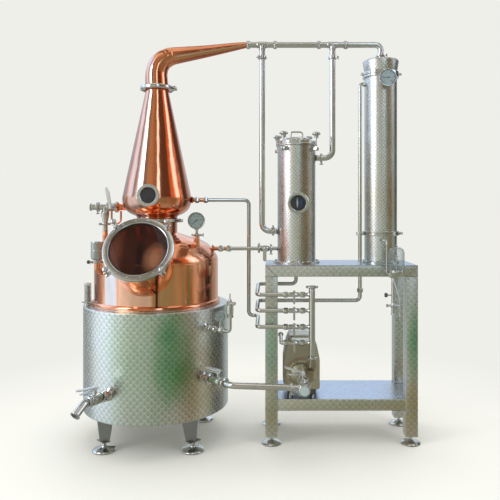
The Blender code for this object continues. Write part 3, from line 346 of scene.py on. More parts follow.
# stand: green and warm painted reflections on the legs and along the lower front
STAND_REFLECTIONS = [
    (LEFT + 0.03, 0.0, 0.60, 0.055, 0.24, (0.52, 0.80, 0.64), 0.85),
    (LEFT + 0.03, 0.0, 0.26, 0.06, 0.24, (0.78, 0.76, 0.60), 0.8),
    (LEFT + 0.03, 0.0, 0.86, 0.06, 0.12, (0.92, 0.84, 0.80), 0.7),
    (RIGHT - 0.02, 0.0, 0.62, 0.055, 0.26, (0.40, 0.74, 0.52), 0.9),
    (RIGHT - 0.02, 0.0, 0.30, 0.055, 0.14, (0.84, 0.72, 0.52), 0.8),
    ((LEFT + RIGHT) / 2, 0.0, 0.16, 0.95, 0.17, (0.80, 0.76, 0.58), 0.8)]
shell_mid, condenser_mid = mid("basket_column"), mid("condenser_shell")
# column and condenser: brownish painted reflections darkening their right sides
COLUMN_REFLECTIONS = [
    (shell_mid.x + 0.058, shell_mid.y, 1.50, 0.052, 1.20, (0.52, 0.47, 0.36), 0.85),
    (condenser_mid.x + 0.054, condenser_mid.y, 1.70, 0.046, 1.60, (0.52, 0.47, 0.36), 0.85)]
# (x, z, half width, half height, colour, strength): painted highlights, reflections and shade on
# the panes
pane, sight = mid("manway_glass"), mid("column_sight_glass")
# sight glass: a pale painted highlight streak beside a dark blue painted reflection
SIGHT_PAINTED_LIGHT = [(sight.x - 0.006, sight.z, 0.006, 0.030, (0.42, 0.52, 0.48), 0.8),
              (sight.x + 0.015, sight.z, 0.011, 0.030, (0.020, 0.045, 0.120), 0.9)]
# manway pane: painted light and shade of the copper inside, a lit area, a shaded one and a dark
# streak
PANE_PAINTED_LIGHT = [(pane.x + 0.098, pane.z - 0.050, 0.060, 0.075, (0.62, 0.27, 0.15), 0.85),
             (pane.x - 0.130, pane.z - 0.010, 0.045, 0.14, (0.24, 0.075, 0.045), 0.8),
             (pane.x + 0.010, pane.z - 0.02, 0.020, 0.16, (0.020, 0.010, 0.014), 0.8)]
# (from, to, soft edge, colour, strength): degrees for bands, shares of radius for streaks; all
# are painted reflections and highlights
# painted reflections on the helmet, the first two also on the neck: pale greyish window stripes
# and dark and red room bands
HELMET_REFLECTION_BANDS = [
    (-80, -43, 3.0, (0.42, 0.26, 0.20), 0.60), (-43, -6, 2.0, (0.50, 0.385, 0.33), 0.72),
    (-4, 9, 2.0, (0.82, 0.24, 0.07), 0.45), (50, 56, 1.5, (0.85, 0.10, 0.03), 0.80),
    (74, 92, 3.0, (0.60, 0.36, 0.40), 0.50)]
# painted highlight and reflections along the neck: one bright streak between dark red and olive
# ones
NECK_REFLECTION_STREAKS = [
    (-0.18, 0.04, 0.05, (0.42, 0.11, 0.06), 0.75), (-0.45, -0.25, 0.05, (1.0, 0.80, 0.70), 0.85),
    (-0.69, -0.51, 0.05, (0.40, 0.38, 0.12), 0.75),
    (-1.20, -0.73, 0.05, (0.48, 0.15, 0.09), 0.70)]
# painted reflections on the pot wall: pale window stripes, dark gaps and warm and green room
# colours
WALL_REFLECTION_BANDS = [
    (-60, -50, 2.0, (0.50, 0.18, 0.11), 0.7), (-41, -25, 1.2, (0.68, 0.65, 0.62), 0.95),
    (-25, 8, 3.0, (0.97, 0.62, 0.46), 0.75), (9.4, 12.0, 0.6, (0.05, 0.03, 0.02), 0.92),
    (13, 38, 1.5, (0.98, 0.56, 0.30), 0.8), (38.5, 41.5, 0.8, (0.42, 0.50, 0.16), 0.8),
    (58, 66, 2.0, (0.36, 0.10, 0.05), 0.8)]
NO_TOP = 9.0  # above everything, so the bands run the whole height

# key: (material, slot name)
MATERIALS = {
    "leg": (steel("leg_plate", tint=(0.30, 0.31, 0.30), rough=(0.25, 0.45)), "polished_steel"),
    "copper": (copper("copper"), "copper"),
    # copies of the copper that carry the painted reflection stripes
    "copper_wall": (copper("copper_wall", WALL_REFLECTION_BANDS), "copper"),
    "copper_helmet": (copper("copper_helmet", HELMET_REFLECTION_BANDS, NO_TOP), "copper"),
    "copper_neck": (copper("copper_neck", HELMET_REFLECTION_BANDS[:2], NO_TOP, NECK_REFLECTION_STREAKS), "copper"),
    # darker blue copy for the upward faces: painted reflection of the bluish light from above
    "pearl_top_sky_tint": (pearl("pearl_sheet_top_sky_tint", pitch=0.040, painted_reflections=(), base=(0.43, 0.49, 0.61),
                        relief=0.24, contrast=0.8), "pearl_steel"),
    "bronze": (steel("bronze_casting", tint=(0.36, 0.33, 0.22), rough=(0.26, 0.45)),
               "motor_paint"),
    "pearl": (pearl("pearl_sheet", pitch=0.024, painted_reflections=COLUMN_REFLECTIONS,
                    base=(0.62, 0.625, 0.59), relief=0.24), "pearl_steel"),
    "pearl_stand": (pearl("pearl_stand", pitch=0.040, painted_reflections=STAND_REFLECTIONS,
                          base=(0.62, 0.62, 0.595), relief=0.20, contrast=0.55),
                    "pearl_steel"),
    "pearl_jacket": (pearl("pearl_jacket", pitch=0.040, painted_reflections=JACKET_REFLECTIONS,
                           base=(0.60, 0.635, 0.60), relief=0.26), "pearl_steel"),
    "steel": (steel("polished_steel"), "polished_steel"),
    "satin": (steel("satin_steel", tint=(0.56, 0.575, 0.55), rough=(0.28, 0.45)),
              "polished_steel"),
    "weld": (steel("weld_steel", tint=(0.40, 0.41, 0.40), rough=(0.35, 0.6)),
             "polished_steel"),
    # sight panes: dark and mostly opaque, so the pane carries painted shade of the unlit inside
    "glass": (glass("sight_glass", tint=(0.010, 0.009, 0.014), clear=0.22, painted_light=SIGHT_PAINTED_LIGHT),
              "glass"),
    "pane": (glass("manway_pane", tint=(0.045, 0.014, 0.009), clear=0.74, painted_light=PANE_PAINTED_LIGHT),
             "glass"),
    "clear": (glass("clear_glass", tint=(0.16, 0.20, 0.20), clear=0.88, edge=0.55), "glass"),
    "face": (paint("dial_face", (0.33, 0.41, 0.41), rough=0.30, coat=0.6, bump=0.03),
             "dial_case"),
    "ink": (paint("dial_ink", (0.025, 0.027, 0.028), rough=0.45, bump=0.02), "needle"),
    "khaki": (paint("khaki_paint", (0.235, 0.215, 0.135), rough=0.45, grain=420.0, bump=0.25,
                    coat=0.25), "motor_paint"),
    # band colour that paints the highlight along the top of the pump adapter
    "orange_highlight": (paint("orange_highlight_band", (0.62, 0.20, 0.05), rough=0.4, bump=0.05), "motor_paint"),
    "plate": (paint("plate_paint", (0.70, 0.76, 0.78), rough=0.35, grain=300.0, bump=0.08,
                    coat=0.3), "motor_paint"),
    "handle": (steel("handle_strip", tint=(0.90, 0.92, 0.90), rough=(0.42, 0.60)),
               "polished_steel"),
    "black": (paint("black_gasket", (0.018, 0.018, 0.018), rough=0.55, bump=0.2), "needle"),
    "white": (paint("white_seal", (0.62, 0.62, 0.58), rough=0.5, bump=0.1), "dial_case"),
    "dark": (paint("dark_knob", (0.05, 0.048, 0.045), rough=0.35, bump=0.1, coat=0.3),
             "needle"),
}


# ------------------------------------------------------------ geometry helpers
def add_object(name, data):
    item = bpy.data.objects.new(name, data)
    bpy.context.scene.collection.objects.link(item)
    return item


def oriented(x_axis, z_axis, origin, y_axis=None):
    """Matrix of a local frame; its y axis is z cross x unless given."""
    axes = (x_axis, y_axis or z_axis.cross(x_axis), z_axis)
    matrix = Matrix(axes).transposed().to_4x4()
    matrix.translation = Vector(origin)
    return matrix


def around(centre, radius, degrees, z=0.0):
    angle = math.radians(degrees)
    return Vector((centre.x + radius * math.cos(angle), centre.y + radius * math.sin(angle), z))


def bolt_circle(centre, radius, count, across=X, up=Z):
    """Evenly spaced points, the first half a step round from `across`."""
    for k in range(count):
        angle = math.radians((k + 0.5) * 360 / count)
        yield centre + across * (radius * math.cos(angle)) + up * (radius * math.sin(angle))


def softened(profile, radius, steps=3, closed=False):
    """Profile with its corners rounded, so edges catch light."""
    if radius <= 0:
        return profile
    points = [Vector(point) for point in profile]
    out = []
    for i, corner in enumerate(points):
        if not closed and i in (0, len(points) - 1):
            out.append(tuple(corner))
            continue
        back, ahead = points[i - 1] - corner, points[(i + 1) % len(points)] - corner
        back_length, ahead_length = back.length, ahead.length
        if back_length < 1e-7 or ahead_length < 1e-7:
            out.append(tuple(corner))
            continue
        back, ahead = back / back_length, ahead / ahead_length
        angle = math.acos(max(-1, min(1, back.dot(ahead))))
        if angle > math.radians(165) or angle < 0.05:
            out.append(tuple(corner))
            continue
        cut = min(radius / math.tan(angle / 2), 0.45 * back_length, 0.45 * ahead_length)
        start, end = corner + back * cut, corner + ahead * cut
        for j in range(steps + 1):
            f = j / steps
            out.append(tuple((1 - f) ** 2 * start + 2 * f * (1 - f) * corner + f * f * end))
    return out


def bent(points, radius, steps=8):
    """Path with its corners replaced by arcs."""
    points = [Vector(point) for point in points]
    out = [points[0]]
    for before, corner, after in zip(points, points[1:], points[2:]):
        back, ahead = (before - corner).normalized(), (after - corner).normalized()
        angle = back.angle(ahead)
        if angle > math.radians(176):
            out.append(corner)
            continue
        cut = min(radius / math.tan(angle / 2), 0.49 * (before - corner).length,
                  0.49 * (after - corner).length)
        arc_radius = cut * math.tan(angle / 2)
        centre = corner + (back + ahead).normalized() * (arc_radius / math.sin(angle / 2))
        start, end = corner + back * cut - centre, corner + ahead * cut - centre
        turn = start.rotation_difference(end)
        for i in range(steps + 1):
            out.append(centre + Quaternion().slerp(turn, i / steps) @ start)
    out.append(points[-1])
    return out


def spline(stations, steps):
    """Catmull-Rom curve through (point, radius) stations."""
    out = []
    last = len(stations) - 1
    for i in range(last):
        near = [stations[j] for j in (max(i - 1, 0), i, i + 1, min(i + 2, last))]
        for j in range(steps):
            f = j / steps
            weights = (-0.5 * f ** 3 + f ** 2 - 0.5 * f, 1.5 * f ** 3 - 2.5 * f ** 2 + 1,
                       -1.5 * f ** 3 + 2 * f ** 2 + 0.5 * f, 0.5 * f ** 3 - 0.5 * f ** 2)
            out.append((sum((Vector(s[0]) * w for s, w in zip(near, weights)), Vector()),
                        sum(s[1] * w for s, w in zip(near, weights))))
    out.append((Vector(stations[-1][0]), stations[-1][1]))
    return out


def turned_normals(mesh, origin, axis, profile):
    """Gives the faces of a cut shell that lie on the profile their exact turned normals."""
    origin = Vector(origin)
    axis = axis.normalized()

    def split(point):
        """Outward direction, distance from the axis and height along it."""
        height = point.dot(axis)
        outward = point - axis * height
        distance = outward.length
        if distance >= 1e-5:
            outward /= distance
        return outward, distance, height

    points = [Vector(point) for point in profile]
    spans = []
    for start, end in zip(points, points[1:]):
        along = end - start
        if along.length > 1e-6:
            along.normalize()
            spans.append((start, end, Vector((along.y, -along.x))))
    blended = []
    for i, (start, end, normal) in enumerate(spans):
        before = after = normal
        if i and spans[i - 1][2].dot(normal) > 0.80:
            before = spans[i - 1][2]
        if i + 1 < len(spans) and spans[i + 1][2].dot(normal) > 0.80:
            after = spans[i + 1][2]
        blended.append(((before + normal).normalized(), (after + normal).normalized()))
    out = [Vector(corner.vector) for corner in mesh.corner_normals]
    for face in mesh.polygons:
        outward, distance, height = split(face.center - origin)
        if distance < 1e-5:
            continue
        facing = Vector((face.normal.dot(outward), face.normal.dot(axis)))
        place = Vector((distance, height))
        best = None
        for (start, end, normal), (first, second) in zip(spans, blended):
            length = (end - start).length
            t = max(0.0, min(1.0, (place - start).dot(end - start) / (length * length)))
            gap = (place - (start + (end - start) * t)).length
            sign = 1.0 if normal.dot(facing) > 0 else -1.0
            aligned = abs(normal.dot(facing)) > 0.93
            if gap < 0.0016 and aligned and (best is None or gap < best[0]):
                best = (gap, start, end, first * sign, second * sign, length)
        if best is None:
            continue
        _, start, end, first, second, length = best
        for loop in face.loop_indices:
            vertex = mesh.vertices[mesh.loops[loop].vertex_index].co
            outward, distance, height = split(vertex - origin)
            if distance < 1e-5:
                continue
            place = Vector((distance, height))
            t = max(0.0, min(1.0, (place - start).dot(end - start) / (length * length)))
            normal = (first * (1 - t) + second * t).normalized()
            out[loop] = (outward * normal.x + axis * normal.y).normalized()
    mesh.normals_split_custom_set([tuple(normal) for normal in out])


class Piece:
    """One visible piece: geometry is added to it, then `done` makes the object."""

    def __init__(self, name, material, replaces=None, body=ROOT):
        self.name, self.material, self.replaces, self.body = name, material, replaces, body
        self.bm = bmesh.new()
        self.uv = self.bm.loops.layers.uv.new("flat")
        self.turned = []

    def face(self, corners):
        try:
            face = self.bm.faces.new(corners)
        except ValueError:  # a face with the same corners is already there
            return None
        face.smooth = True
        return face

    def quad(self, corners, uvs=((0, 0),) * 4):
        """Face of up to four corners; one on the axis may come twice."""
        kept = {}
        for corner, uv in zip(corners, uvs):
            kept.setdefault(corner, uv)
        if len(kept) < 3:
            return
        face = self.face(list(kept))
        if face:
            for loop, uv in zip(face.loops, kept.values()):
                loop[self.uv].uv = uv

    def lathe(self, profile, origin, axis=Z, steps=48, ring=False, soft=0.0, arc=None,
              corner=3):
        """Turned solid from (radius, height) points; ring joins the last to the first."""
        profile = softened(profile, soft, corner, ring)
        matrix = Matrix.Translation(Vector(origin))
        matrix = matrix @ Z.rotation_difference(Vector(axis)).to_matrix().to_4x4()
        widest = max(point[0] for point in profile)
        first, last = arc or (0.0, 2 * math.pi)
        count = steps + 1 if arc else steps
        columns, on_axis = [], {}
        for j in range(count):
            angle = first + (last - first) * j / steps
            column = []
            for i, (radius, height) in enumerate(profile):
                if radius < 1e-7:
                    if i not in on_axis:
                        on_axis[i] = self.bm.verts.new(matrix @ Vector((0, 0, height)))
                    column.append(on_axis[i])
                else:
                    column.append(self.bm.verts.new(matrix @ Vector(
                        (radius * math.cos(angle), radius * math.sin(angle), height))))
            columns.append(column)
        run = [0.0]
        for start, end in zip(profile, profile[1:]):
            run.append(run[-1] + math.hypot(end[0] - start[0], end[1] - start[1]))
        size = len(profile)
        spans = [(i, i + 1) for i in range(size - 1)] + ([(size - 1, 0)] if ring else [])
        for j in range(steps):
            here, there = columns[j], columns[(j + 1) % count]
            u0 = widest * (first + (last - first) * j / steps)
            u1 = widest * (first + (last - first) * (j + 1) / steps)
            for i0, i1 in spans:
                v0, v1 = -run[i0], -run[i1] if i1 else -(run[-1] + 0.01)
                self.quad((here[i0], here[i1], there[i1], there[i0]),
                          ((u0, v0), (u0, v1), (u1, v1), (u1, v0)))
        if arc and ring:
            self.bm.faces.new(columns[0])
            self.bm.faces.new(columns[-1][::-1])

    def disc(self, origin, axis, radius, low, high, steps=32, soft=0.0008):
        self.lathe([(0, high), (radius, high), (radius, low), (0, low)], origin, axis, steps,
                   soft=soft, corner=2)

    def nut(self, origin, axis, radius, low, high, soft=0.001):
        self.disc(origin, axis, radius, low, high, 6, soft)

    def torus(self, origin, axis, radius, wire, steps=48, sides=12):
        angles = [-2 * math.pi * i / sides for i in range(sides)]
        self.lathe([(radius + wire * math.cos(a), wire * math.sin(a)) for a in angles],
                   origin, axis, steps, ring=True)

    def thread(self, origin, axis, start, pitch, count, radius, wire, steps):
        """Row of thin rings along a bolt."""
        for i in range(count):
            self.torus(origin + axis * (start + pitch * i), axis, radius, wire, steps, 6)

    def tube(self, points, radius, sides=20):
        """Round tube along points; radius is one number or one per point."""
        points = [Vector(point) for point in points]
        radii = radius if isinstance(radius, list) else [radius] * len(points)
        tangents = [(points[min(i + 1, len(points) - 1)] - points[max(i - 1, 0)]).normalized()
                    for i in range(len(points))]
        ref = X if abs(tangents[0].dot(X)) < 0.9 else Y
        normal = (ref - tangents[0] * ref.dot(tangents[0])).normalized()
        angles = [2 * math.pi * j / sides for j in range(sides)]
        rings = []
        for i, (point, tangent) in enumerate(zip(points, tangents)):
            if i:
                turn = tangents[i - 1].rotation_difference(tangent)
                normal = (turn @ normal).normalized()
            side = tangent.cross(normal)
            rings.append([self.bm.verts.new(
                point + (normal * math.cos(a) + side * math.sin(a)) * radii[i]) for a in angles])
        v0 = 0.0
        for i in range(len(rings) - 1):
            here, there = rings[i], rings[i + 1]
            v1 = v0 + (points[i + 1] - points[i]).length
            for j in range(sides):
                k = (j + 1) % sides
                u0, u1 = j * 0.01, (j + 1) * 0.01
                self.quad((here[j], here[k], there[k], there[j]),
                          ((u0, v0), (u1, v0), (u1, v1), (u0, v1)))
            v0 = v1
        self.bm.faces.new(rings[0][::-1])
        self.bm.faces.new(rings[-1])

    def pipe(self, points, radius, bend, steps=8, sides=20):
        self.tube(bent(points, bend, steps), radius, sides)

    def loft(self, sections, matrix):
        """Solid through closed sections of local points."""
        rows = [[self.bm.verts.new(matrix @ Vector(point)) for point in section]
                for section in sections]
        for here, there in zip(rows, rows[1:]):
            for i in range(len(here)):
                k = (i + 1) % len(here)
                self.quad((here[i], here[k], there[k], there[i]))
        self.bm.faces.new(rows[0])
        self.bm.faces.new(rows[-1][::-1])

    def block(self, low, high, soft=0.0015, matrix=None, segments=2):
        """Box with rounded edges."""
        box = bmesh.new()
        centre = [(a + b) / 2 for a, b in zip(low, high)]
        size = [abs(b - a) for a, b in zip(low, high)]
        bmesh.ops.create_cube(
            box, size=1.0, matrix=Matrix.Translation(centre) @ Matrix.Diagonal((*size, 1.0)))
        if soft:
            bmesh.ops.bevel(box, geom=list(box.edges), offset=min(soft, 0.45 * min(size)),
                            segments=segments, profile=0.5, affect="EDGES")
        self.take(box, matrix)

    def take(self, source, matrix=None):
        """Moves another bmesh in, with box-projected texture coordinates."""
        source.normal_update()
        copies = {vert: self.bm.verts.new(matrix @ vert.co if matrix is not None else vert.co)
                  for vert in source.verts}
        for old in source.faces:
            face = self.face([copies[vert] for vert in old.verts])
            if face is None:
                continue
            nx, ny, nz = (abs(c) for c in old.normal)
            for loop in face.loops:
                x, y, z = loop.vert.co
                if nx >= ny and nx >= nz:
                    loop[self.uv].uv = (y, z)
                else:
                    loop[self.uv].uv = (x, z) if ny >= nz else (x, y)
        source.free()

    def solid(self, mesh):
        source = bmesh.new()
        source.from_mesh(mesh)
        self.take(source)

    def mesh(self):
        bmesh.ops.remove_doubles(self.bm, verts=self.bm.verts, dist=0.000002)
        bmesh.ops.recalc_face_normals(self.bm, faces=self.bm.faces)
        mesh = bpy.data.meshes.new(self.name)
        self.bm.to_mesh(mesh)
        self.bm.free()
        return mesh

    def done(self, sharp=38.0):
        mesh = self.mesh()
        mesh.shade_smooth()
        mesh.set_sharp_from_angle(angle=math.radians(sharp))
        item = add_object(self.name, mesh)
        material, slot = MATERIALS[self.material]
        mesh.materials.append(material)
        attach(item, self.body)
        for origin, axis, profile in self.turned:
            turned_normals(mesh, origin, axis, profile)
        if self.replaces:
            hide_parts(self.replaces)
        return item


def turned_solid(profile, origin, axis, steps):
    """Temporary turned object for `carve`."""
    part = Piece("temp", "steel")
    part.lathe(profile, origin, axis, steps)
    return add_object("temp", part.mesh())


def carve(base, added, removed):
    """Mesh of a temporary object with others joined on, then others cut away."""
    for operation, tools in (("UNION", added), ("DIFFERENCE", removed)):
        for tool in tools:
            modifier = base.modifiers.new("b", "BOOLEAN")
            modifier.operation, modifier.object, modifier.solver = operation, tool, "EXACT"
        bpy.context.view_layer.update()
        graph = bpy.context.evaluated_depsgraph_get()
        mesh = bpy.data.meshes.new_from_object(base.evaluated_get(graph))
        for item in [base, *tools]:
            bpy.data.objects.remove(item, do_unlink=True)
        base = add_object("temp", mesh)
    bpy.data.objects.remove(base, do_unlink=True)
    return mesh


def unroll(item, centre, radius):
    """Maps a turned wall to (angle * radius, height) so the sheet pattern keeps its pitch."""
    mesh = item.data
    uv = mesh.uv_layers["flat"]
    for face in mesh.polygons:
        corners = [mesh.vertices[mesh.loops[i].vertex_index].co for i in face.loop_indices]
        angles = [math.atan2(v.y - centre.y, v.x - centre.x) for v in corners]
        for loop, vertex, angle in zip(face.loop_indices, corners, angles):
            while angle - angles[0] > math.pi:
                angle -= 2 * math.pi
            while angles[0] - angle > math.pi:
                angle += 2 * math.pi
            wall = abs(face.normal.z) < 0.7
            uv.data[loop].uv = (angle * radius, vertex.z) if wall else (vertex.x, vertex.y)


def prism(outline, opposite):
    """Closed bmesh between two outlines of equal count."""
    body = bmesh.new()
    near = [body.verts.new(point) for point in outline]
    far = [body.verts.new(point) for point in opposite]
    body.faces.new(near)
    body.faces.new(far[::-1])
    for i in range(len(near)):
        j = (i + 1) % len(near)
        body.faces.new((near[i], far[i], far[j], near[j]))
    bmesh.ops.recalc_face_normals(body, faces=body.faces)
    return body


# ------------------------------------------------------------ repeated fittings
def pipe_clamp(part, point, axis, bore, knob, rim, wide=1.0):
    """Two ferrule rims, a grooved two-part band, a hinge and a wing nut towards `knob`."""
    axis = axis.normalized()
    for side in (-1, 1):
        part.lathe([(bore * 0.98, 0.0075), (bore + 0.0006, 0.0075), (rim - 0.001, 0.0032),
                    (rim - 0.001, 0.0004), (bore * 0.98, 0.0004)],
                   point, axis * side, 28, ring=True)
    band = rim + 0.0035
    out = Vector(knob)
    out = (out - axis * out.dot(axis)).normalized()
    across = axis.cross(out).normalized()
    matrix = oriented(out, axis, point, across)
    section = softened([(rim - 0.003, 0.0078 * wide), (band, 0.0064 * wide),
                        (band, -0.0064 * wide), (rim - 0.003, -0.0078 * wide),
                        (rim - 0.0005, -0.003), (rim - 0.0005, 0.003)], 0.0008, 2, True)
    gap, steps = 0.10, 16
    for first, last in ((gap, math.pi - gap * 0.4), (math.pi + gap * 0.4, 2 * math.pi - gap)):
        angles = [first + (last - first) * j / steps for j in range(steps + 1)]
        part.loft([[(r * math.cos(a), r * math.sin(a), h) for r, h in section]
                   for a in angles], matrix)
    for side in (-1, 1):
        part.block((band - 0.003, side * 0.0022, -0.0052),
                   (band + 0.0105, side * 0.0075, 0.0052), 0.001, matrix)
    part.disc(matrix @ Vector((-band - 0.0015, 0, 0)), axis, 0.0042, -0.0058, 0.0058, 12, 0.0005)
    bolt = matrix @ Vector((band + 0.0055, 0, 0))
    part.disc(bolt, across, 0.0022, -0.013, 0.024, 10, 0.0003)
    part.disc(bolt, across, 0.005, 0.0078, 0.015, 12)
    for side in (-1, 1):
        wing = oriented(axis * side, across, bolt + across * 0.0135, out)
        part.block((0.003, -0.0012, -0.002), (0.0135, 0.0012, 0.0085), 0.001,
                   wing @ Matrix.Rotation(-0.35, 4, "Y"))


def union_nut(part, point, axis, radius, length):
    """Hexagon union with round collars."""
    part.disc(point, axis, radius * 1.05, -length * 0.72, length * 0.72, 24, 0.001)
    part.nut(point, axis, radius * 1.45, -length / 2, length / 2, 0.0012)


def band_clamp(name, node, inner, outer):
    """Large band in two halves round the pot's axis: lugs and a knobbed bolt at +X,
    hinge at -X."""
    half = 0.014
    centre = Vector((POT.x, POT.y, mid(node).z))
    part = Piece(name, "steel", node)
    section = softened([
        (inner + 0.0006, half - 0.0006), (outer - 0.004, half - 0.0006), (outer, half * 0.55),
        (outer, -half * 0.55), (outer - 0.004, -half + 0.0006),
        (inner + 0.0006, -half + 0.0006)], 0.0015, 3, True)
    for arc in ((0.055, math.pi - 0.012), (math.pi + 0.012, 2 * math.pi - 0.055)):
        part.lathe(section, centre, Z, 60, ring=True, arc=arc)
    x, y, z = centre
    for side in (-1, 1):
        part.block((x + outer - 0.006, y + side * 0.0065, z - half * 0.75),
                   (x + outer + 0.019, y + side * 0.0165, z + half * 0.75), 0.002)
    bolt = (x + outer + 0.010, y, z)
    part.disc(bolt, Y, 0.0042, -0.046, 0.030, 16, 0.0004)
    part.nut(bolt, Y, 0.008, 0.0235, 0.030)
    part.lathe([(0, 0.048), (0.006, 0.047), (0.0105, 0.042), (0.0115, 0.034), (0.009, 0.027),
                (0.0075, 0.018), (0, 0.018)], bolt, -Y, 24, soft=0.001)
    part.disc((x - outer + 0.002, y, z), Z, 0.006, -half * 0.9, half * 0.9, 20)
    part.done()


def strip(part, matrix, line, width, thick, tip=0.10):
    """Bent flat bar through local (x, z) points; its far end rounds over a share `tip`."""
    last = len(line) - 1

    def half_width(t):
        if t > 1 - tip:
            f = (t - (1 - tip)) / tip
            return max(width * math.sqrt(max(0.0, 1 - f * f * 0.96)), width * 0.2) / 2
        if t < 0.12:
            return width * (1.0 + 0.15 * (1 - t / 0.12)) / 2
        return width / 2

    edge = min(0.0006, thick * 0.3)
    sections = []
    for i, (x, z) in enumerate(line):
        x0, z0 = line[max(i - 1, 0)]
        x1, z1 = line[min(i + 1, last)]
        tangent = Vector((x1 - x0, 0, z1 - z0)).normalized()
        normal = Vector((-tangent.z, 0, tangent.x))
        wide, high = half_width(i / last), thick / 2
        section = [(-wide + edge, high), (wide - edge, high), (wide, high - edge),
                   (wide, -high + edge), (wide - edge, -high), (-wide + edge, -high),
                   (-wide, -high + edge), (-wide, high - edge)]
        sections.append([Vector((x, 0, z)) + Vector((0, side, 0)) + normal * up
                         for side, up in section])
    part.loft(sections, matrix)


def pull_lever(name, node, pivot, stem, along, length, width=0.020, spread=0.035):
    """Two-strip handle on a hub; the strips spread apart towards the far end."""
    stem, along = stem.normalized(), along.normalized()
    matrix = oriented(along, stem, pivot)
    part = Piece(name, "handle", node, body=node)
    part.lathe([(0, 0.0245), (0.0062, 0.024), (0.0062, 0.020), (0.0105, 0.0198), (0.011, 0.018),
                (0.011, 0.0008), (0.010, 0.0002), (0, 0.0002)], pivot, stem, 32)
    part.nut(pivot, stem, 0.0068, 0.0205, 0.0262, 0.0008)
    steps = [i / 14 for i in range(15)]
    upper = [(-0.010 + (length + 0.005) * f,
              0.016 + spread / 2 * f ** 1.25 + 0.002 * math.sin(math.pi * f)) for f in steps]
    lower = [(-0.008 + length * 0.85 * f, 0.0085 - 0.002 * f - 0.002 * math.sin(math.pi * f))
             for f in steps]
    strip(part, matrix, upper, width, 0.0072)
    strip(part, matrix, lower, width * 0.82, 0.0044)
    for side in (-1, 1):
        part.tube([matrix @ Vector((0.012, side * width * 0.30, z)) for z in (0.009, 0.017)],
                  0.0016, 10)
    part.done()


def ball_valve(part, centre, axis, half, neck, body, bolt_ring, bolt_radius, bolt_half):
    """Barrel with four hexagon bolts lying along it."""
    part.lathe([(0, half), (neck, half), (body, half - 0.006), (body + 0.0002, 0.006 - half),
                (neck, -half), (0, -half)], centre, axis, 48, soft=0.002)
    for spot in bolt_circle(centre, bolt_ring, 4, Z.cross(axis)):
        part.nut(spot, axis, bolt_radius, -bolt_half, bolt_half, 0.0008)


def dial(name, node, centre, radius, needle, pointing, length, majors=10):
    """Round gauge facing the front, its scale running 270 degrees clockwise."""
    start, sweep = 225.0, -270.0
    case = Piece(name + "_case", "steel", node)
    case.lathe([(radius * 0.905, -0.0052), (radius * 0.905, -0.001), (radius * 0.93, -0.0002),
                (radius * 0.975, -0.0004), (radius, -0.003), (radius, -0.008),
                (radius * 0.965, -0.0098), (radius * 0.955, -0.0215), (radius * 0.90, -0.0238),
                (0, -0.0238), (0, -0.019), (radius * 0.905, -0.0075)], centre, -Y, 72)
    case.disc(centre, -Y, radius * 0.16, -0.029, -0.0236, 24)
    case.done()
    face = Piece(name + "_face", "face")
    face.lathe([(0, -0.0056), (radius * 0.902, -0.0056), (radius * 0.902, -0.0072),
                (0, -0.0072)], centre, -Y, 72)
    face.done()
    scale = Piece(name + "_scale", "ink")
    for i in range(majors * 5 + 1):
        angle = math.radians(start + sweep * i / (majors * 5))
        major = i % 5 == 0
        matrix = oriented(X * math.cos(angle) + Z * math.sin(angle), Y, centre)
        half = radius * (0.030 if major else 0.012)
        scale.block((radius * (0.70 if major else 0.765), -half, 0.0052),
                    (radius * 0.835, half, 0.00565), 0.0, matrix)
    scale.lathe([(radius * 0.86, -0.005), (radius * 0.904, -0.005), (radius * 0.904, -0.00565),
                 (radius * 0.86, -0.00565)], centre, -Y, 72, ring=True)
    scale.done()
    numbers = Piece(name + "_numbers", "ink")
    for i in range(0, majors + 1, 2):
        angle = math.radians(start + sweep * i / majors)
        text = bpy.data.curves.new("n", "FONT")
        text.body = str(i * (10 if radius > 0.04 else 1))
        text.size = radius * 0.20
        text.align_x, text.align_y = "CENTER", "CENTER"
        text.extrude = 0.0001
        text.resolution_u = 2
        item = add_object("n", text)
        spot = (centre + Y * 0.0054 + X * (radius * 0.56 * math.cos(angle))
                + Z * (radius * 0.56 * math.sin(angle)))
        item.matrix_world = Matrix.Translation(spot) @ Matrix.Rotation(math.radians(90), 4, "X")
        bpy.context.view_layer.update()
        graph = bpy.context.evaluated_depsgraph_get()
        mesh = bpy.data.meshes.new_from_object(item.evaluated_get(graph))
        mesh.transform(item.matrix_world)
        bpy.data.objects.remove(item, do_unlink=True)
        numbers.solid(mesh)
    numbers.done()
    pointer = Piece(name + "_pointer", "ink", needle, body=needle)
    matrix = oriented(Vector(pointing).normalized(), -Y, centre)
    half = length * 0.085
    outline = [(-length * 0.30, -half * 1.3), (-length * 0.30, half * 1.3), (0, half * 0.9),
               (length * 0.98, half * 0.22), (length * 0.98, -half * 0.22), (0, -half * 0.9)]
    blade = bmesh.new()
    back = [blade.verts.new((x, y, -0.0036)) for x, y in outline]
    front = [blade.verts.new((x, y, -0.0026)) for x, y in outline]
    blade.faces.new(back[::-1])
    blade.faces.new(front)
    for i in range(len(outline)):
        k = (i + 1) % len(outline)
        blade.faces.new((back[i], back[k], front[k], front[i]))
    bmesh.ops.recalc_face_normals(blade, faces=blade.faces)
    pointer.take(blade, matrix)
    pointer.disc(centre, -Y, length * 0.11, -0.004, -0.0016, 24, 0.0003)
    pointer.done()
    window = Piece(name + "_window", "clear")
    window.lathe([(0, -0.00045), (radius * 0.902, -0.00055), (radius * 0.902, -0.0013),
                  (0, -0.0013)], centre, -Y, 72)
    window.done()


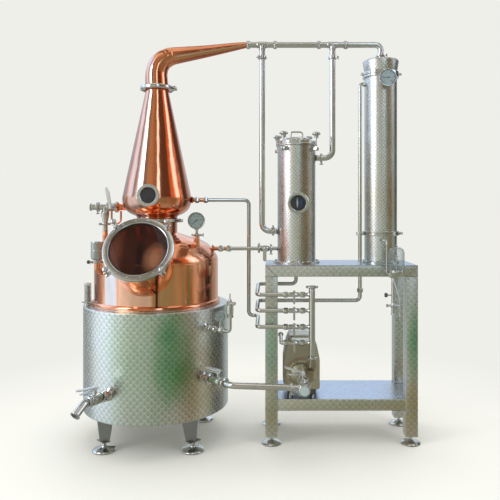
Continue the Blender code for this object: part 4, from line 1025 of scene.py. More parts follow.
# ============================================================ jacket and its legs
JACKET_BOTTOM = 0.209
part = Piece("jacket_wall", "pearl_jacket", "jacket_shell")
part.lathe([(0, 0.214), (0.454, 0.214), (0.454, 0.853), (0.3962, 0.853), (0.3962, JACKET_TOP),
            (JACKET_RADIUS - 0.004, JACKET_TOP), (JACKET_RADIUS, JACKET_TOP - 0.004),
            (JACKET_RADIUS, JACKET_BOTTOM + 0.006), (JACKET_RADIUS - 0.006, JACKET_BOTTOM),
            (0, JACKET_BOTTOM)], POT, Z, 128, soft=0.0015)
part.done()
part = Piece("jacket_seams", "satin")
for z, radius, wire in ((JACKET_TOP - 0.004, JACKET_RADIUS - 0.0028, 0.0024),
                        (JACKET_BOTTOM + 0.0045, JACKET_RADIUS - 0.0035, 0.003),
                        (JACKET_TOP + 0.0004, 0.4018, 0.0022)):
    part.torus(POT + Z * z, Z, radius, wire, 128, 8)
part.done()

LEG_RING = 0.378
LEG_TOP, LEG_BOTTOM, LEG_THICK = 0.2085, 0.062, 0.0035
LEG_ANGLES = [45 + 90 * k for k in range(4)]


def leg_outline(edge_x, wing_x, wing_y, side, z):
    """Corners of one plate at height z, from the outward edge to the wing."""
    edge, wing = Vector((edge_x, 0, z)), Vector((wing_x, side * wing_y, z))
    along = (wing - edge).normalized()
    offset = Vector((-along.y, along.x, 0)) * (LEG_THICK * -side)
    return [edge, wing, wing + offset, edge + offset]


legs, feet = Piece("jacket_legs", "leg"), Piece("jacket_feet", "steel")
for angle in LEG_ANGLES:
    spot = around(POT, LEG_RING, angle)
    matrix = Matrix.Translation(spot) @ Matrix.Rotation(math.radians(angle), 4, "Z")
    # two tapering plates meeting in an outward edge, with a pad below
    for side in (-1, 1):
        plate = prism(leg_outline(0.046, -0.026, 0.066, side, LEG_TOP),
                      leg_outline(0.026, -0.014, 0.040, side, LEG_BOTTOM))
        bmesh.ops.bevel(plate, geom=list(plate.edges), offset=0.0007, segments=1,
                        affect="EDGES")
        legs.take(plate, matrix)
    legs.block((-0.020, -0.042, 0.0585), (0.028, 0.042, 0.0635), 0.001, matrix)
    feet.disc(spot, Z, 0.0095, 0.018, 0.075, 24, 0.0006)
    feet.thread(spot, Z, 0.026, 0.0035, 9, 0.0094, 0.001, 20)
    feet.nut(spot, Z, 0.0165, 0.0475, 0.0585)
    feet.lathe([(0, 0.036), (0.014, 0.034), (0.018, 0.026), (0.040, 0.020), (0.066, 0.013),
                (0.070, 0.008), (0.070, 0.004), (0.068, 0.0025), (0, 0.0025)], spot, soft=0.002)
legs.done()
feet.done()
part = Piece("jacket_foot_pads", "black")
for angle in LEG_ANGLES:
    part.disc(around(POT, LEG_RING, angle), Z, 0.0665, 0.0, 0.003, 40)
part.done()

# ============================================================ pot
MOUTH_Z, MOUTH_RADIUS, POT_WALL = 1.388, 0.129, 0.004
# (radius, height) down the outside, from the mouth over the shoulder to the bottom
POT_PROFILE = [
    (MOUTH_RADIUS, 1.3105), (0.160, 1.300), (0.197, 1.287), (0.243, 1.2755), (0.284, 1.260),
    (0.308, 1.248), (0.328, 1.235), (0.3445, 1.2195), (0.357, 1.203), (0.370, 1.187),
    (0.380, 1.172), (0.3885, 1.1545), (0.393, 1.135), (0.393, 0.330), (0.385, 0.305),
    (0.362, 0.288), (0.200, 0.264), (0.0, 0.258)]
DOOR_TILT = math.radians(32.0)
DOOR_AXIS = Vector((0, -math.cos(DOOR_TILT), math.sin(DOOR_TILT)))
DOOR_UP = Vector((0, math.sin(DOOR_TILT), math.cos(DOOR_TILT)))
DOOR_CENTRE = mid("manway_glass") - DOOR_AXIS * 0.008
COLLAR_RADIUS = 0.168

part = Piece("pot_body", "copper_wall", "copper_pot")
part.solid(carve(
    turned_solid([(0, MOUTH_Z), (MOUTH_RADIUS + 0.005, MOUTH_Z),
                  (MOUTH_RADIUS + 0.005, MOUTH_Z - 0.006),
                  (MOUTH_RADIUS + 0.0005, MOUTH_Z - 0.009)] + POT_PROFILE, POT, Z, 128),
    added=[
        turned_solid([(0, -0.004), (COLLAR_RADIUS, -0.004), (COLLAR_RADIUS, -0.30), (0, -0.30)],
                     DOOR_CENTRE, DOOR_AXIS, 96),
        turned_solid([(0, -0.0006), (0.1845, -0.0006), (0.186, -0.002), (0.186, -0.010),
                      (0.1845, -0.012), (0, -0.012)], DOOR_CENTRE, DOOR_AXIS, 96)],
    removed=[
        turned_solid([(0, MOUTH_Z + 0.02), (MOUTH_RADIUS - POT_WALL, MOUTH_Z + 0.02)]
                     + [(max(radius - POT_WALL, 0.0), z + (0.004 if z < 0.3 else -0.002))
                        for radius, z in POT_PROFILE], POT, Z, 128),
        turned_solid([(0, 0.05), (0.160, 0.05), (0.160, -0.45), (0, -0.45)],
                     DOOR_CENTRE, DOOR_AXIS, 96)]))
part.turned = [(POT, Z, POT_PROFILE),
               (DOOR_CENTRE, DOOR_AXIS, [(COLLAR_RADIUS, -0.013), (COLLAR_RADIUS, -0.30)])]
part.done(30)
part = Piece("pot_bead", "copper")
part.lathe([(0.3932, 0.888), (0.3985, 0.886), (0.4035, 0.880), (0.406, 0.872), (0.4055, 0.864),
            (0.402, 0.859), (0.3932, 0.859)], POT, Z, 128, ring=True)
part.torus(POT + Z * 1.128, Z, 0.3928, 0.0016, 128, 6)
part.torus(POT + Z * 1.3065, Z, MOUTH_RADIUS + 0.001, 0.003, 96, 8)
# bead where the manway collar leaves the shoulder
part.torus(DOOR_CENTRE - DOOR_AXIS * 0.012, DOOR_AXIS, 0.1685, 0.0022, 96, 8)
part.done()

# ============================================================ helmet
HELMET_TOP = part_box("helmet")[1][2]
# (radius, height) down the outside
HELMET_PROFILE = [
    (0.0925, HELMET_TOP), (0.094, HELMET_TOP - 0.0015), (0.094, HELMET_TOP - 0.0075),
    (0.0775, HELMET_TOP - 0.0105), (0.0762, 2.215), (0.2165, 1.557), (0.2195, 1.543),
    (0.221, 1.528), (0.2205, 1.513), (0.218, 1.497), (0.2125, 1.480), (0.205, 1.466),
    (0.1935, 1.4515), (0.180, 1.440), (0.166, 1.431), (0.150, 1.424), (0.137, 1.4185),
    (0.130, 1.410), (0.129, 1.400), (0.134, 1.3965), (0.134, 1.3885)]
ring_mid = mid("helmet_sight_ring")
HELMET_SIGHT = Vector((ring_mid.x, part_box("helmet_sight_ring")[1][1] + 0.0003, ring_mid.z))

part = Piece("helmet_cone", "copper_helmet", "helmet")
part.solid(carve(
    turned_solid([(0, HELMET_TOP)] + HELMET_PROFILE + [(0, 1.3885)], POT, Z, 128),
    added=[turned_solid([(0, 0), (0.063, 0), (0.064, -0.001), (0.064, -0.009), (0.063, -0.010),
                         (0.055, -0.0105), (0.0555, -0.09), (0, -0.09)],
                        HELMET_SIGHT, -Y, 64)],
    removed=[
        turned_solid([(0, 2.29), (0.072, 2.29), (0.0722, 2.215), (0.212, 1.555), (0.217, 1.527),
                      (0.213, 1.493), (0.2005, 1.468), (0.177, 1.443), (0.146, 1.427),
                      (0.126, 1.4125), (0.125, 1.36), (0, 1.36)], POT, Z, 128),
        turned_solid([(0, 0.02), (0.047, 0.02), (0.047, -0.16), (0, -0.16)],
                     HELMET_SIGHT, -Y, 64)]))
part.turned = [(POT, Z, HELMET_PROFILE)]
part.done(30)

part = Piece("helmet_sight_rim", "steel", "helmet_sight_ring")
part.lathe([(0.0478, 0.013), (0.050, 0.0155), (0.0665, 0.0155), (0.068, 0.013), (0.068, 0.0035),
            (0.0665, 0.001), (0.0478, 0.001)], HELMET_SIGHT, -Y, 64, ring=True, soft=0.0012)
for spot in bolt_circle(HELMET_SIGHT, 0.0585, 8):
    part.nut(spot, -Y, 0.0042, 0.015, 0.0195, 0.0006)
part.torus(HELMET_SIGHT + Y * 0.012, Y, 0.0562, 0.0022, 64, 8)
part.done()
part = Piece("helmet_sight_pane", "glass", "helmet_sight_glass")
part.lathe([(0, 0.0088), (0.038, 0.0092), (0.0468, 0.008), (0.0468, 0.0015), (0, 0.0015)],
           HELMET_SIGHT, -Y, 64, soft=0.0008)
part.done()
part = Piece("helmet_sight_seal", "black")
part.torus(HELMET_SIGHT - Y * 0.0085, Y, 0.0466, 0.0016, 64, 8)
part.done()

band_clamp("neck_band", "neck_clamp", 0.1346, 0.147)
part = Piece("neck_seal", "white")
part.lathe([(0.131, 1.3897), (0.1342, 1.3895), (0.1342, 1.3872), (0.131, 1.387)],
           POT, Z, 96, ring=True)
part.done()

# ============================================================ manway door and swing knobs
DOOR = "manway_door"


def door_spokes():
    """Outward directions of the four knobs."""
    for degrees in LEG_ANGLES:
        angle = math.radians(degrees)
        yield X * math.cos(angle) + DOOR_UP * math.sin(angle)


part = Piece("manway_ring", "steel", DOOR, body=DOOR)
part.lathe([(0.1652, 0.020), (0.169, 0.0222), (0.196, 0.0222), (0.200, 0.019), (0.200, 0.004),
            (0.1975, 0.0012), (0.1652, 0.0012)],
           DOOR_CENTRE, DOOR_AXIS, 128, ring=True, soft=0.0015)
for spot in bolt_circle(DOOR_CENTRE, 0.1835, 16, X, DOOR_UP):
    part.lathe([(0, 0.0268), (0.0038, 0.0268), (0.0045, 0.0258), (0.0045, 0.0218), (0, 0.0218)],
               spot, DOOR_AXIS, 20, soft=0.0005, corner=2)
for out in door_spokes():
    matrix = oriented(out, DOOR_AXIS, DOOR_CENTRE)
    for x0, x1, y0, y1 in ((0.1965, 0.229, -0.015, -0.0062), (0.1965, 0.229, 0.0062, 0.015),
                           (0.195, 0.209, -0.0145, 0.0145)):
        part.block((x0, y0, 0.003), (x1, y1, 0.016), 0.0015, matrix)
part.done()
part = Piece("manway_gasket", "black", body=DOOR)
part.lathe([(0.160, 0.0052), (0.1662, 0.0062), (0.172, 0.001), (0.172, 0.0003),
            (0.160, 0.0003)], DOOR_CENTRE, DOOR_AXIS, 96, ring=True)
part.torus(DOOR_CENTRE + DOOR_AXIS * 0.0165, DOOR_AXIS, 0.1648, 0.0028, 96, 8)
part.done()
part = Piece("manway_pane", "pane", "manway_glass", body=DOOR)
part.lathe([(0, 0.0152), (0.060, 0.015), (0.120, 0.0142), (0.164, 0.0125), (0.164, 0.0045),
            (0, 0.0045)], DOOR_CENTRE, DOOR_AXIS, 96)
part.done()
for k, out in enumerate(door_spokes(), 1):
    pivot = DOOR_CENTRE + out * 0.214 + DOOR_AXIS * 0.0235
    pin = DOOR_AXIS.cross(out)
    node = "manway_knob_%d" % k
    part = Piece("manway_swing_knob_%d" % k, "steel", node, body=node)
    part.torus(pivot, pin, 0.0045, 0.0022, 24, 10)
    part.disc(pivot, pin, 0.0058, -0.0052, 0.0052, 24)
    part.disc(pivot, DOOR_AXIS, 0.0042, 0.0, 0.030, 20, 0.0003)
    part.thread(pivot, DOOR_AXIS, 0.009, 0.0018, 6, 0.0041, 0.0006, 16)
    part.lathe([(0, 0.0492), (0.007, 0.0485), (0.0128, 0.0456), (0.016, 0.0405),
                (0.0162, 0.034), (0.0135, 0.027), (0.009, 0.0225), (0.0085, 0.019),
                (0, 0.019)], pivot, DOOR_AXIS, 36, soft=0.0012)
    part.done()


# ============================================================ side branch, left of the helmet
BRANCH_Z = 1.475
DROP = Vector((-0.945, POT.y, 0))  # axis of the pipe hanging from the branch


def branch_at(x):
    return Vector((x, POT.y, BRANCH_Z))


part = Piece("side_branch_pipe", "steel", "side_branch")
part.tube([branch_at(-0.852), branch_at(-0.8855)], 0.019, 28)
part.lathe([(0, 0.020), (0.0235, 0.020), (0.026, 0.016), (0.0262, -0.016), (0.0235, -0.020),
            (0, -0.020)], branch_at(-0.900), X, 40, soft=0.002)
part.tube([branch_at(-0.917), branch_at(-1.0385)], 0.019, 28)
part.lathe([(0.0165, 0.0035), (0.024, 0.0032), (0.0255, 0.0015), (0.0255, -0.003),
            (0.020, -0.004), (0.0165, -0.004)], branch_at(-1.0385), -X, 40, ring=True)
part.disc(branch_at(-1.040), -X, 0.017, -0.004, 0.0)
part.tube([DROP + Z * (BRANCH_Z + 0.001), DROP + Z * (BRANCH_Z - 0.030)], 0.0195, 28)
part.lathe([(0, 1.452), (0.0196, 1.452), (0.0262, 1.440), (0.0262, 1.425), (0.0168, 1.379),
            (0.0168, 1.374), (0, 1.374)], DROP, Z, 40, soft=0.002)
part.disc(DROP, Z, 0.016, 1.31, 1.375, 28)
part.disc(branch_at(-0.895), -Y, 0.0085, 0.02, 0.0475, 20)
part.done()
part = Piece("side_branch_copper", "copper")
part.tube([branch_at(POT.x - 0.205), branch_at(-0.862)], 0.0205, 36)
part.lathe([(0.0205, 0.014), (0.028, 0.004), (0.0335, 0.002), (0.0335, -0.004),
            (0.0205, -0.004)], branch_at(-0.862), X, 40, ring=True, soft=0.001)
part.disc(DROP, Z, 0.0165, 1.195, 1.315, 28)
part.lathe([(0.0165, 1.250), (0.026, 1.238), (0.030, 1.225), (0.0165, 1.222)],
           DROP, Z, 40, ring=True)
# thin U-shaped tube just in front of the branch
LOOP_X, LOOP_Y, LOOP_Z, LOOP_RADIUS = -0.868, POT.y - 0.02, 1.398, 0.030
angles = [math.pi * i / 12 for i in range(13)]
part.tube([(LOOP_X - LOOP_RADIUS, LOOP_Y, 1.455)]
          + [(LOOP_X - LOOP_RADIUS * math.cos(a), LOOP_Y, LOOP_Z - LOOP_RADIUS * math.sin(a))
             for a in angles]
          + [(LOOP_X + LOOP_RADIUS, LOOP_Y, 1.450)], 0.0065, 16)
part.done()
part = Piece("side_branch_clamps", "steel")
pipe_clamp(part, branch_at(-0.870), X, 0.0215, (0, -1, 0.2), 0.0325)
pipe_clamp(part, branch_at(-0.924), X, 0.0195, (0, -1, 0.6), 0.0275)
pipe_clamp(part, branch_at(-0.992), X, 0.0195, (0, -0.6, -1), 0.0285)
pipe_clamp(part, DROP + Z * 1.365, Z, 0.0168, (-1, -0.5, 0), 0.0275)
part.done()
pull_lever("side_branch_handle", "side_branch_lever", (-0.895, POT.y - 0.048, BRANCH_Z),
           -Y, Vector((-0.16, 0, 0.987)), length=0.135)

# ============================================================ fill canister and vent tube
CANISTER = Vector((-0.893, -0.240, 0))
NECK_Z, ELBOW_Z = 1.146, 1.085
inward = (POT - CANISTER).normalized()
part = Piece("fill_canister", "satin", "fill_port")
part.lathe([(0, 1.185), (0.0345, 1.185), (0.0345, 1.2645), (0.0372, 1.266), (0.038, 1.264),
            (0.0375, 1.260), (0.0365, 1.258), (0.0365, 1.172), (0.030, 1.162), (0.018, 1.158),
            (0.018, 1.150), (0, 1.150)], CANISTER, Z, 64)
part.done()
part = Piece("fill_canister_fittings", "steel")
pipe_clamp(part, CANISTER + Z * NECK_Z, Z, 0.018, (-1, -0.3, 0), 0.0285)
part.torus(CANISTER + Z * 1.215, Z, 0.0366, 0.0012, 64, 8)
part.disc(CANISTER + Vector((-0.026, 0, NECK_Z)), -X, 0.004, 0, 0.024, 16)
part.done()
part = Piece("fill_canister_knob", "dark")
part.lathe([(0, 0.016), (0.009, 0.0145), (0.0112, 0.009), (0.0108, 0.001), (0.006, -0.003),
            (0, -0.003)], CANISTER + Vector((-0.045, 0, NECK_Z)), -X, 32, soft=0.001)
part.done()
part = Piece("fill_stub", "copper")
part.pipe([CANISTER + Z * 1.143, CANISTER + Z * ELBOW_Z,
           CANISTER + inward * 0.070 + Z * ELBOW_Z], 0.0172, 0.030, 8, 28)
part.done()

VENT = Vector((mid("vent_cup").x, mid("vent_cup").y, 0))
VENT_PIPE_Z = 0.880
part = Piece("vent_tube", "clear", "vent_cup")
part.lathe([(0, 0.872), (0.0185, 0.872), (0.0185, 0.9945), (0.020, 0.9952), (0.0215, 0.994),
            (0.0215, 0.8625), (0, 0.8625)], VENT)
part.done()
part = Piece("vent_valve", "steel")
part.lathe([(0, 0.985), (0.0095, 0.984), (0.0125, 0.980), (0.0125, 0.948), (0.015, 0.946),
            (0.015, 0.935), (0.0125, 0.933), (0.0125, 0.900), (0.0155, 0.898), (0.0155, 0.873),
            (0, 0.873)], VENT, Z, 36, soft=0.0008)
part.done()
part = Piece("vent_tube_base", "steel")
part.tube([VENT + Vector((x, -0.0235, VENT_PIPE_Z)) for x in (-0.030, 0.034)], 0.004, 16)
part.disc(VENT + Z * VENT_PIPE_Z, -Y, 0.006, 0.019, 0.0285, 20)
part.lathe([(0, 0.870), (0.0228, 0.870), (0.0236, 0.868), (0.0236, 0.859), (0, 0.859)],
           VENT, Z, 36, soft=0.0008)
part.torus(VENT + Z * 0.9945, Z, 0.0205, 0.0018, 40, 8)
part.done()

# ============================================================ pot thermometer
POT_DIAL_RADIUS = 0.0535
low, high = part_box("pot_thermometer")
POT_DIAL = Vector((mid("pot_thermometer").x, low[1], high[2] - POT_DIAL_RADIUS))
stem = Vector((POT_DIAL.x, POT_DIAL.y + 0.020, 0))
dial("pot_dial", "pot_thermometer", POT_DIAL, POT_DIAL_RADIUS, "pot_needle",
     pointing=(-0.8, 0, -0.55), length=0.036)
part = Piece("pot_dial_stem", "steel")
part.disc(stem, Z, 0.009, 1.292, 1.340, 24)
pipe_clamp(part, stem + Z * 1.300, Z, 0.0125, (1, -0.3, 0), 0.027)
part.nut(stem, Z, 0.0125, 1.330, 1.345)
part.done()
part = Piece("pot_dial_ferrule", "copper")
part.disc(stem, Z, 0.018, 1.215, 1.293, 36)
part.torus(stem + Z * 1.243, Z, 0.019, 0.0035, 40, 8)
part.done()


# ============================================================ relief line
def spoke(direction, level):
    """Point at a distance from the pot's axis, at the line's own height unless given."""
    return lambda distance, z=level: POT + direction * distance + Z * z


RELIEF = Vector((0.759, -0.651, 0))
relief_at = spoke(RELIEF, 0.751)
elbow, riser = relief_at(0.665), relief_at(0.665, 0)
part = Piece("relief_pipe", "steel", "relief_line")
part.pipe([relief_at(0.452), elbow, elbow + Z * 0.10], 0.0105, 0.024)
part.lathe([(0.0105, 0.012), (0.020, 0.004), (0.026, 0.002), (0.026, -0.002),
            (0.0105, -0.002)], relief_at(0.4615), RELIEF, 36, ring=True)
union_nut(part, relief_at(0.497), RELIEF, 0.0125, 0.018)
part.lathe([(0, 0.016), (0.017, 0.014), (0.019, 0.004), (0.019, -0.004), (0.017, -0.014),
            (0, -0.016)], relief_at(0.533), RELIEF, 32, soft=0.001)
union_nut(part, relief_at(0.585), RELIEF, 0.013, 0.024)
part.disc(relief_at(0.585), Z, 0.0085, 0.0, 0.020, 20)
part.lathe([(0, 0.907), (0.015, 0.906), (0.0195, 0.900), (0.020, 0.880), (0.0195, 0.856),
            (0.015, 0.846), (0, 0.845)], riser, Z, 40, soft=0.001)
part.nut(riser, Z, 0.019, 0.833, 0.849)
part.disc(riser + Z * 0.917, RELIEF, 0.0085, -0.020, 0.034, 24)
part.nut(riser + Z * 0.917, RELIEF, 0.0125, 0.026, 0.036)
part.lathe([(0, 0.940), (0.009, 0.939), (0.011, 0.933), (0.011, 0.905), (0, 0.905)],
           riser, Z, 32, soft=0.001)
part.disc(riser, Z, 0.0036, 0.935, 0.9715, 16)
part.torus(riser + Vector((0, -0.012, 0.905)), Y, 0.019, 0.0018, 48, 10)  # pull ring
part.done()

GAUGE_RADIUS = 0.0315
low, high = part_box("jacket_gauge")
GAUGE = Vector((relief_at(0.585).x, low[1], high[2] - GAUGE_RADIUS))
stem = Vector((GAUGE.x, GAUGE.y + 0.012, 0))
dial("jacket_dial", "jacket_gauge", GAUGE, GAUGE_RADIUS, "gauge_needle",
     pointing=(-0.7, 0, -0.7), length=0.021, majors=6)
part = Piece("jacket_dial_stem", "steel")
part.disc(stem, Z, 0.0055, 0.770, 0.806, 20)
part.nut(stem, Z, 0.0092, 0.777, 0.790, 0.0008)
part.done()

# ============================================================ drain valve
DRAIN = Vector((-0.447, -0.894, 0)).normalized()
drain_at = spoke(DRAIN, 0.3845)
knee, spout = drain_at(0.645), drain_at(0.712, 0.338)
spout_axis = (spout - knee).normalized()
part = Piece("drain_body", "steel", "drain_valve")
part.pipe([drain_at(0.516), knee, spout], 0.0225, 0.035, 10, 36)
ball_valve(part, drain_at(0.560), DRAIN, half=0.028, neck=0.0265, body=0.031,
           bolt_ring=0.0262, bolt_radius=0.0045, bolt_half=0.034)
part.disc(drain_at(0.560), Z, 0.0095, 0.02, 0.050, 24)
part.lathe([(0.0195, 0.0024), (0.0275, 0.0024), (0.0285, 0.001), (0.0285, -0.003),
            (0.0235, -0.0065), (0.0195, -0.0065)], spout, spout_axis, 48, ring=True)
part.done()
# dark disc over the spout's closed end: painted shade inside the bore
part = Piece("drain_bore_shade", "dark")
part.disc(spout, spout_axis, 0.020, -0.006, 0.0006, 40, 0.0002)
part.done()
part = Piece("drain_stub", "copper")
part.tube([drain_at(0.460), drain_at(0.512)], 0.0235, 40)
part.done()
part = Piece("drain_weld_ring", "steel")
part.lathe([(0.0236, 0.010), (0.027, 0.0075), (0.037, 0.006), (0.0385, 0.0045),
            (0.0385, -0.001), (0.0236, -0.001)], drain_at(0.4605), DRAIN, 48, ring=True)
part.done()
part = Piece("drain_clamps", "steel")
pipe_clamp(part, drain_at(0.508), DRAIN, 0.024, (0.9, -0.4, -0.2), 0.0315)
pipe_clamp(part, drain_at(0.614), DRAIN, 0.023, (0.9, -0.4, 0.3), 0.0315)
part.done()
pull_lever("drain_handle", "drain_lever", drain_at(0.560, 0.435), Z, DRAIN,
           length=0.150, width=0.028)

# ============================================================ transfer line to the pump
TRANSFER = Vector((0.741, -0.672, 0)).normalized()
STUB_Z = 0.4545
transfer_at = spoke(TRANSFER, 0.454)
TEE = Vector((0.3224, -0.3654, 0.440))


def before_pump(y):
    """Point on the straight run from the tee back to the pump."""
    return Vector((TEE.x, y, TEE.z))


INLET_VALVE, TEE_END = before_pump(-0.270), before_pump(TEE.y - 0.055)
part = Piece("transfer_tube", "steel", "transfer_pipe")
part.pipe([transfer_at(0.516, STUB_Z), transfer_at(0.700, 0.453), TEE], 0.019, 0.06, 10, 36)
part.tube([before_pump(TEE.y - 0.050), before_pump(-0.1662)], 0.019, 36)
part.lathe([(0, 0.024), (0.0215, 0.022), (0.0228, 0.014), (0.0228, -0.028), (0.0215, -0.035),
            (0, -0.037)], TEE, X, 40, soft=0.002)
for centre, axis in ((transfer_at(0.585), TRANSFER), (INLET_VALVE, Y)):
    ball_valve(part, centre, axis, half=0.026, neck=0.0245, body=0.0292,
               bolt_ring=0.0246, bolt_radius=0.0042, bolt_half=0.0315)
part.disc(transfer_at(0.585), Z, 0.0088, 0.02, 0.046, 24)
part.disc(INLET_VALVE, Z, 0.0088, 0.02, 0.044, 24)
part.lathe([(0, 0.0085), (0.020, 0.008), (0.030, 0.007), (0.033, 0.005), (0.033, -0.005),
            (0.0285, -0.0085), (0, -0.0085)], TEE_END, -Y, 56, soft=0.0015)
part.done()
part = Piece("transfer_end_plate", "face")
part.lathe([(0, 0.0097), (0.024, 0.0095), (0.0262, 0.0089), (0.0262, 0.0078), (0, 0.0078)],
           TEE_END, -Y)
part.done()
part = Piece("transfer_stub", "copper")
part.tube([transfer_at(0.460, STUB_Z), transfer_at(0.512, STUB_Z)], 0.020, 40)
part.done()
part = Piece("transfer_weld_ring", "satin")
part.lathe([(0.0201, 0.010), (0.024, 0.0075), (0.033, 0.006), (0.0345, 0.0045),
            (0.0345, -0.001), (0.0201, -0.001)],
           transfer_at(0.4605, STUB_Z), TRANSFER, 48, ring=True)
part.done()
part = Piece("transfer_clamps", "steel")
for point, axis, knob, rim in (
        (transfer_at(0.508, STUB_Z), TRANSFER, (0.6, 0.7, -0.5), 0.0285),
        (transfer_at(0.635, 0.4535), TRANSFER, (-0.6, -0.7, -0.4), 0.0285),
        (Vector((0.250, TEE.y, 0.4412)), X, (0, -1, -0.3), 0.0275),
        (before_pump(-0.322), Y, (1, 0, -0.2), 0.0285),
        (before_pump(-0.218), Y, (1, 0, -0.6), 0.0285),
        (before_pump(TEE.y - 0.046), Y, (-1, 0, -0.8), 0.0285)):
    pipe_clamp(part, point, axis, 0.0195, knob, rim)
part.done()
pull_lever("transfer_handle", "transfer_lever", transfer_at(0.585, 0.5004), Z, -TRANSFER,
           length=0.110, width=0.030, spread=0.004)
pull_lever("pump_inlet_handle", "pump_inlet_lever", INLET_VALVE + Z * 0.0444, Z, -X,
           length=0.115, width=0.032, spread=0.066)

# ============================================================ vapour path
VAPOUR_PIPE = 0.019  # radius of the straight pipes
HEADER_Y, HEADER_Z = 0.122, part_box("condenser_elbow")[1][2] - 0.027
# ((x, y, z), radius) from the helmet over the bend to the header
NECK_STATIONS = [
    ((POT.x, POT.y, 2.2449), 0.0745), ((POT.x - 0.0015, POT.y, 2.262), 0.0742),
    ((POT.x - 0.004, POT.y, 2.300), 0.0732), ((POT.x - 0.004, POT.y, 2.345), 0.071),
    ((POT.x + 0.009, POT.y, 2.392), 0.068), ((POT.x + 0.036, POT.y, 2.427), 0.064),
    ((POT.x + 0.070, POT.y, 2.447), 0.060),
    ((POT.x + NECK_START, POT.y + 0.001, NECK_HEIGHT), NECK_RADIUS),
    ((POT.x + 0.300, POT.y + 0.008, 2.4875), 0.040),
    ((-0.120, HEADER_Y - 0.002, HEADER_Z - 0.015), 0.027),
    ((-0.035, HEADER_Y, HEADER_Z - 0.0015), 0.0197), ((-0.015, HEADER_Y, HEADER_Z), 0.0192)]
SPLINE_STEPS = 7
BEAD_INDEX = 7 * SPLINE_STEPS  # the station where the straight taper begins
path = spline(NECK_STATIONS, SPLINE_STEPS)
part = Piece("swan_neck_tube", "copper_neck", "swan_neck")
part.tube([point for point, radius in path], [radius for point, radius in path], 64)
part.done(60)
part = Piece("swan_neck_rims", "copper")
part.lathe([(0.0735, 2.262), (0.0775, 2.260), (0.090, 2.2545), (0.0935, 2.2525),
            (0.0938, 2.2462), (0.0735, 2.2452)], POT, Z, 96, ring=True)
point, radius = path[BEAD_INDEX]
along = (path[BEAD_INDEX + 1][0] - path[BEAD_INDEX - 1][0]).normalized()
part.torus(point, along, radius + 0.0002, 0.0022, 64, 8)
part.done()
band_clamp("swan_neck_band", "swan_neck_clamp", 0.0946, 0.108)

INLET_X, OUTLET_X, HEADER_END = 0.0757, 0.5354, 0.620
DROP_TOP = 2.4517  # where the header's branches meet the pipes below


def header_at(x, z=HEADER_Z):
    return Vector((x, HEADER_Y, z))


part = Piece("vapour_header_tube", "steel", "vapour_header")
part.tube([header_at(-0.0147), header_at(HEADER_END)], VAPOUR_PIPE, 36)
for x in (INLET_X, OUTLET_X):
    part.lathe([(0, 0.034), (0.0192, 0.034), (0.0212, 0.030), (0.0212, -0.030),
                (0.0192, -0.034), (0, -0.034)], header_at(x), X, 40, soft=0.001)
    part.lathe([(0, HEADER_Z), (0.0212, HEADER_Z), (0.0212, HEADER_Z - 0.028),
                (VAPOUR_PIPE, HEADER_Z - 0.034), (VAPOUR_PIPE, 2.452), (0, 2.452)],
               header_at(x, 0), Z, 40, soft=0.001)
    for side in (-1, 1):
        part.torus(header_at(x + side * 0.034), X, 0.0191, 0.001, 36, 6)
part.done()
part = Piece("vapour_header_clamps", "steel")
for point, axis, knob in (
        (header_at(-0.0148), X, (0, -1, -0.2)), (header_at(0.160), X, (0, -1, -0.1)),
        (header_at(0.447), X, (0, -1, -0.15)), (header_at(HEADER_END), X, (0, -1, -0.35)),
        (header_at(INLET_X, 2.4519), Z, (-1, -0.4, 0)),
        (header_at(OUTLET_X, 2.4519), Z, (1, -0.5, 0))):
    pipe_clamp(part, point, axis, 0.0192, knob, 0.0232, 1.6)
part.done()
part = Piece("condenser_elbow_tube", "steel", "condenser_elbow")
part.pipe([header_at(HEADER_END + 0.0004), header_at(CONDENSER.x),
           header_at(CONDENSER.x, 2.465)], VAPOUR_PIPE, 0.062, 16, 36)
part.torus(header_at(CONDENSER.x - 0.062), X, 0.0191, 0.001, 36, 6)
part.done()
part = Piece("condenser_top_clamp", "steel")
pipe_clamp(part, header_at(CONDENSER.x, 2.4649), Z, 0.0192, (1, -0.6, 0), 0.0272)
part.done()

COLUMN_RADIUS = 0.1235
DROP_BEND = 0.052
# name, x of the drop, z where it enters the column, side of the column, clamp x, knob
for name, x, z, side, clamp_x, knob in (
        ("basket_inlet", INLET_X, 1.319, -1, 0.147, (0, -0.6, 1)),
        ("basket_outlet", OUTLET_X, 1.796, 1, 0.462, (0, -0.6, -1))):
    part = Piece(name + "_tube", "steel", name + "_pipe")
    part.pipe([header_at(x, DROP_TOP), header_at(x, z),
               header_at(COLUMN.x + side * (COLUMN_RADIUS - 0.002), z)],
              VAPOUR_PIPE, DROP_BEND, 14, 36)
    part.lathe([(0.019, 0.010), (0.0235, 0.003), (0.027, 0.0), (0.019, -0.001)],
               header_at(COLUMN.x + side * (COLUMN_RADIUS - 0.001), z), X * side, 36, ring=True)
    part.torus(header_at(x, z + DROP_BEND), Z, 0.0191, 0.0009, 36, 6)
    part.done()
    part = Piece(name + "_clamp", "steel")
    pipe_clamp(part, header_at(clamp_x, z), X, 0.0192, knob, 0.0272)
    part.done()

